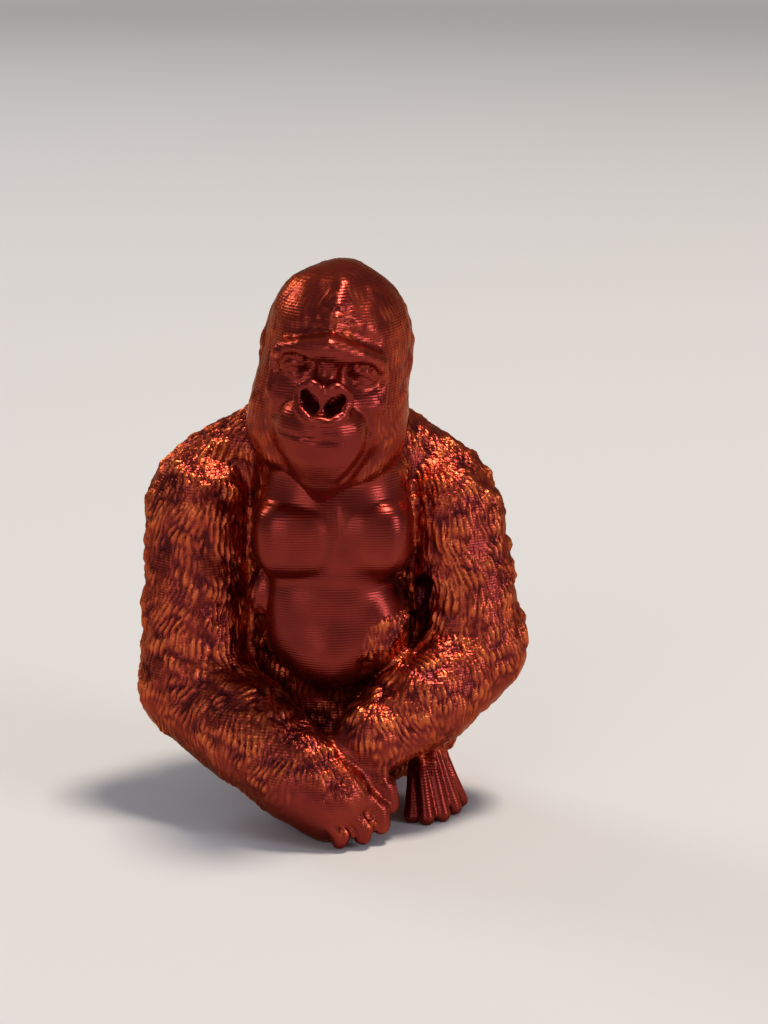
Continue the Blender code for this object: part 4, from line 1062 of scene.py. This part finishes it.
def silk_copper():
    """Deep copper-red silk filament with layer lines and fine hairs, with painted shade in the valleys and
    on bare skin and painted highlights on the tips.
    """
    material, make, shader = new_finish("copper_red_filament_silk")
    place = make.add("ShaderNodeTexCoord").outputs["Object"]
    fur_here = make.add("ShaderNodeAttribute", attribute_name="fur").outputs["Fac"]
    tip_here = make.add("ShaderNodeAttribute", attribute_name="tip").outputs["Fac"]

    mottle = make.noise(place, 180.0, 3.0)
    uneven = make.maths("MULTIPLY", make.maths("SUBTRACT", mottle, 0.5), MOTTLE)
    # Painted shade: the colour is pushed darker where no fur grows.
    bare = make.maths("MULTIPLY", make.maths("SUBTRACT", fur_here, 1.0), PAINTED_BARE_SHADE)
    level = make.maths("ADD", make.maths("ADD", tip_here, uneven), bare)
    # The ramp paints shade into the valleys and gold highlights onto the tips.
    colours = make.add("ShaderNodeValToRGB", {"Fac": level})
    stops = colours.color_ramp.elements
    stops[0].position, stops[0].color = 0.12, PAINTED_VALLEY_SHADE
    stops[1].position, stops[1].color = 0.80, COPPER_RED
    stops.new(0.45).color = DEEP_RED
    stops.new(1.0).color = PAINTED_TIP_HIGHLIGHT
    low, high = SILK_ROUGHNESS
    rough = make.add("ShaderNodeMapRange", {"Value": mottle, "To Min": low, "To Max": high})

    height_z = make.add("ShaderNodeSeparateXYZ", {0: place}).outputs["Z"]
    wobble = make.maths("MULTIPLY", make.noise(place, 90.0, 1.0), LAYER_WOBBLE)
    turns = make.maths("MULTIPLY", height_z, 2 * math.pi / (LAYER * MM))
    layers = make.maths("SINE", make.maths("ADD", turns, wobble))
    stretched = make.add("ShaderNodeMapping", {"Vector": place, "Scale": (1.0, 1.0, 0.2)}).outputs[0]
    hairs = make.noise(stretched, 1 / (HAIR * MM), 2.0)
    furry = make.maths("MULTIPLY", make.maths("MULTIPLY", hairs, fur_here), HAIR_BUMP)
    total = make.maths("ADD", make.maths("MULTIPLY", layers, LAYER_BUMP), furry)
    bump = make.add("ShaderNodeBump", {"Height": total, "Distance": MM, "Strength": 1.0}).outputs[0]

    make.feed(shader, {
        "Base Color": colours.outputs[0],
        "Roughness": rough.outputs[0],
        "Metallic": FLAKES,
        "Specular Tint": EDGE_TINT,
        "Coat Weight": CLEAR_SKIN,
        "Coat Roughness": CLEAR_SKIN_ROUGHNESS,
        "Normal": bump,
        "Coat Normal": bump,
    })
    return material


skin.data.materials.clear()
skin.data.materials.append(silk_copper())
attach(skin, "root")
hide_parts("gorilla")
print("material:", skin.data.materials[0].name)

# %% [markdown]
# The setting is a plain pale floor and soft studio light: a warm lamp high above, a big cool one
# at the front left, another at the right, one behind on the left for the edges, and a pale sky.
# The floor glows a little far away, in the camera's and in mirrored rays only, so that low views
# end in a pale background and not in a dusky one. It sheds no light on the figure.

# %% Floor
FLOOR_HALF = 4.0
FLOOR_COLOUR = (0.62, 0.615, 0.62, 1)
FLOOR_ROUGHNESS = 0.6
FLOOR_GLOSS = 0.2
GLOW_FROM, GLOW_TO = 1.1, 2.2
GLOW = 0.58
GLOW_COLOUR = (1, 0.99, 0.985, 1)


def floor_sheet():
    """A wide pale sheet on the table plane."""
    mesh = bpy.data.meshes.new("floor")
    corners = [(x * FLOOR_HALF, y * FLOOR_HALF, 0) for x, y in ((-1, -1), (1, -1), (1, 1), (-1, 1))]
    mesh.from_pydata(corners, [], [(0, 1, 2, 3)])
    material, make, shader = new_finish("pale_floor")
    place = make.add("ShaderNodeTexCoord").outputs["Object"]
    away = make.add("ShaderNodeVectorMath", {0: place}, operation="LENGTH").outputs["Value"]
    reach = {"Value": away, "From Min": GLOW_FROM, "From Max": GLOW_TO, "To Max": GLOW}
    far = make.add("ShaderNodeMapRange", reach, interpolation_type="SMOOTHSTEP").outputs[0]
    rays = make.add("ShaderNodeLightPath").outputs
    seen = make.maths("MAXIMUM", rays["Is Camera Ray"], rays["Is Glossy Ray"])
    seen = make.maths("MAXIMUM", seen, rays["Is Transmission Ray"])
    make.feed(shader, {
        "Base Color": FLOOR_COLOUR,
        "Roughness": FLOOR_ROUGHNESS,
        "Specular IOR Level": FLOOR_GLOSS,
        "Emission Color": GLOW_COLOUR,
        "Emission Strength": make.maths("MULTIPLY", far, seen),
    })
    mesh.materials.append(material)
    placed("floor", mesh)
    print("floor", 2 * FLOOR_HALF, "m wide, glowing from", GLOW_FROM, "m out")


floor_sheet()

# %% [markdown]
# Area lamps give soft shadows, and their size sets how soft. The sky fills the shadows, so the
# metal has something pale to mirror on every side.

# %% Lamps and sky
LAMPS = (
    ("key", (0.30, 0.05, 1.30), 15.0, 0.26, (1.0, 0.89, 0.75)),
    ("front", (-0.60, -1.20, 0.62), 3.4, 0.80, (0.96, 0.95, 1.0)),
    ("side", (1.00, -0.56, 0.45), 4.4, 0.40, (0.86, 0.86, 1.0)),
    ("rim", (-0.80, 0.75, 0.70), 4.0, 0.40, (0.84, 0.90, 1.0)),
)
LAMP_AIM = (0, 0, 0.03)
SKY_COLOUR = (0.86, 0.87, 0.90, 1)
SKY_STRENGTH = 0.26


def lamp(name, where, power, size, colour):
    """A square area lamp that faces the middle of the figure."""
    light = bpy.data.lights.new(name, "AREA")
    light.energy = power
    light.size = size
    light.color = colour
    obj = placed(name, light)
    obj.location = where
    obj.rotation_euler = (Vector(LAMP_AIM) - Vector(where)).to_track_quat("-Z", "Y").to_euler()


for settings in LAMPS:
    lamp(*settings)
world = bpy.data.worlds.new("pale_sky")
bpy.context.scene.world = world
world.use_nodes = True
sky = world.node_tree.nodes["Background"]
sky.inputs["Color"].default_value = SKY_COLOUR
sky.inputs["Strength"].default_value = SKY_STRENGTH
bpy.context.scene.view_settings.view_transform = "Standard"
print(len(LAMPS), "lamps and a sky of strength", SKY_STRENGTH)

# %% [markdown]
# The camera stands where the photograph was taken from: about 0.3 m in front of the figure and
# 14 degrees above level, with a long lens, so the figure keeps its true proportions.

# %% Camera
CAMERA_AT = np.array([5.54, -293.48, 105.73])
CAMERA_ABOVE = 14
LENS = 100
camera = bpy.data.cameras.new("photo_camera")
camera.lens = LENS
camera.sensor_width = 36
camera.sensor_fit = "AUTO"
camera.clip_start = 0.01
viewer = placed("photo_camera", camera)
viewer.location = (CAMERA_AT - middle) * MM
viewer.rotation_euler = (math.radians(90 - CAMERA_ABOVE), 0, 0)
bpy.context.scene.camera = viewer
bpy.context.view_layer.update()
print("camera at", [round(value, 4) for value in viewer.location])
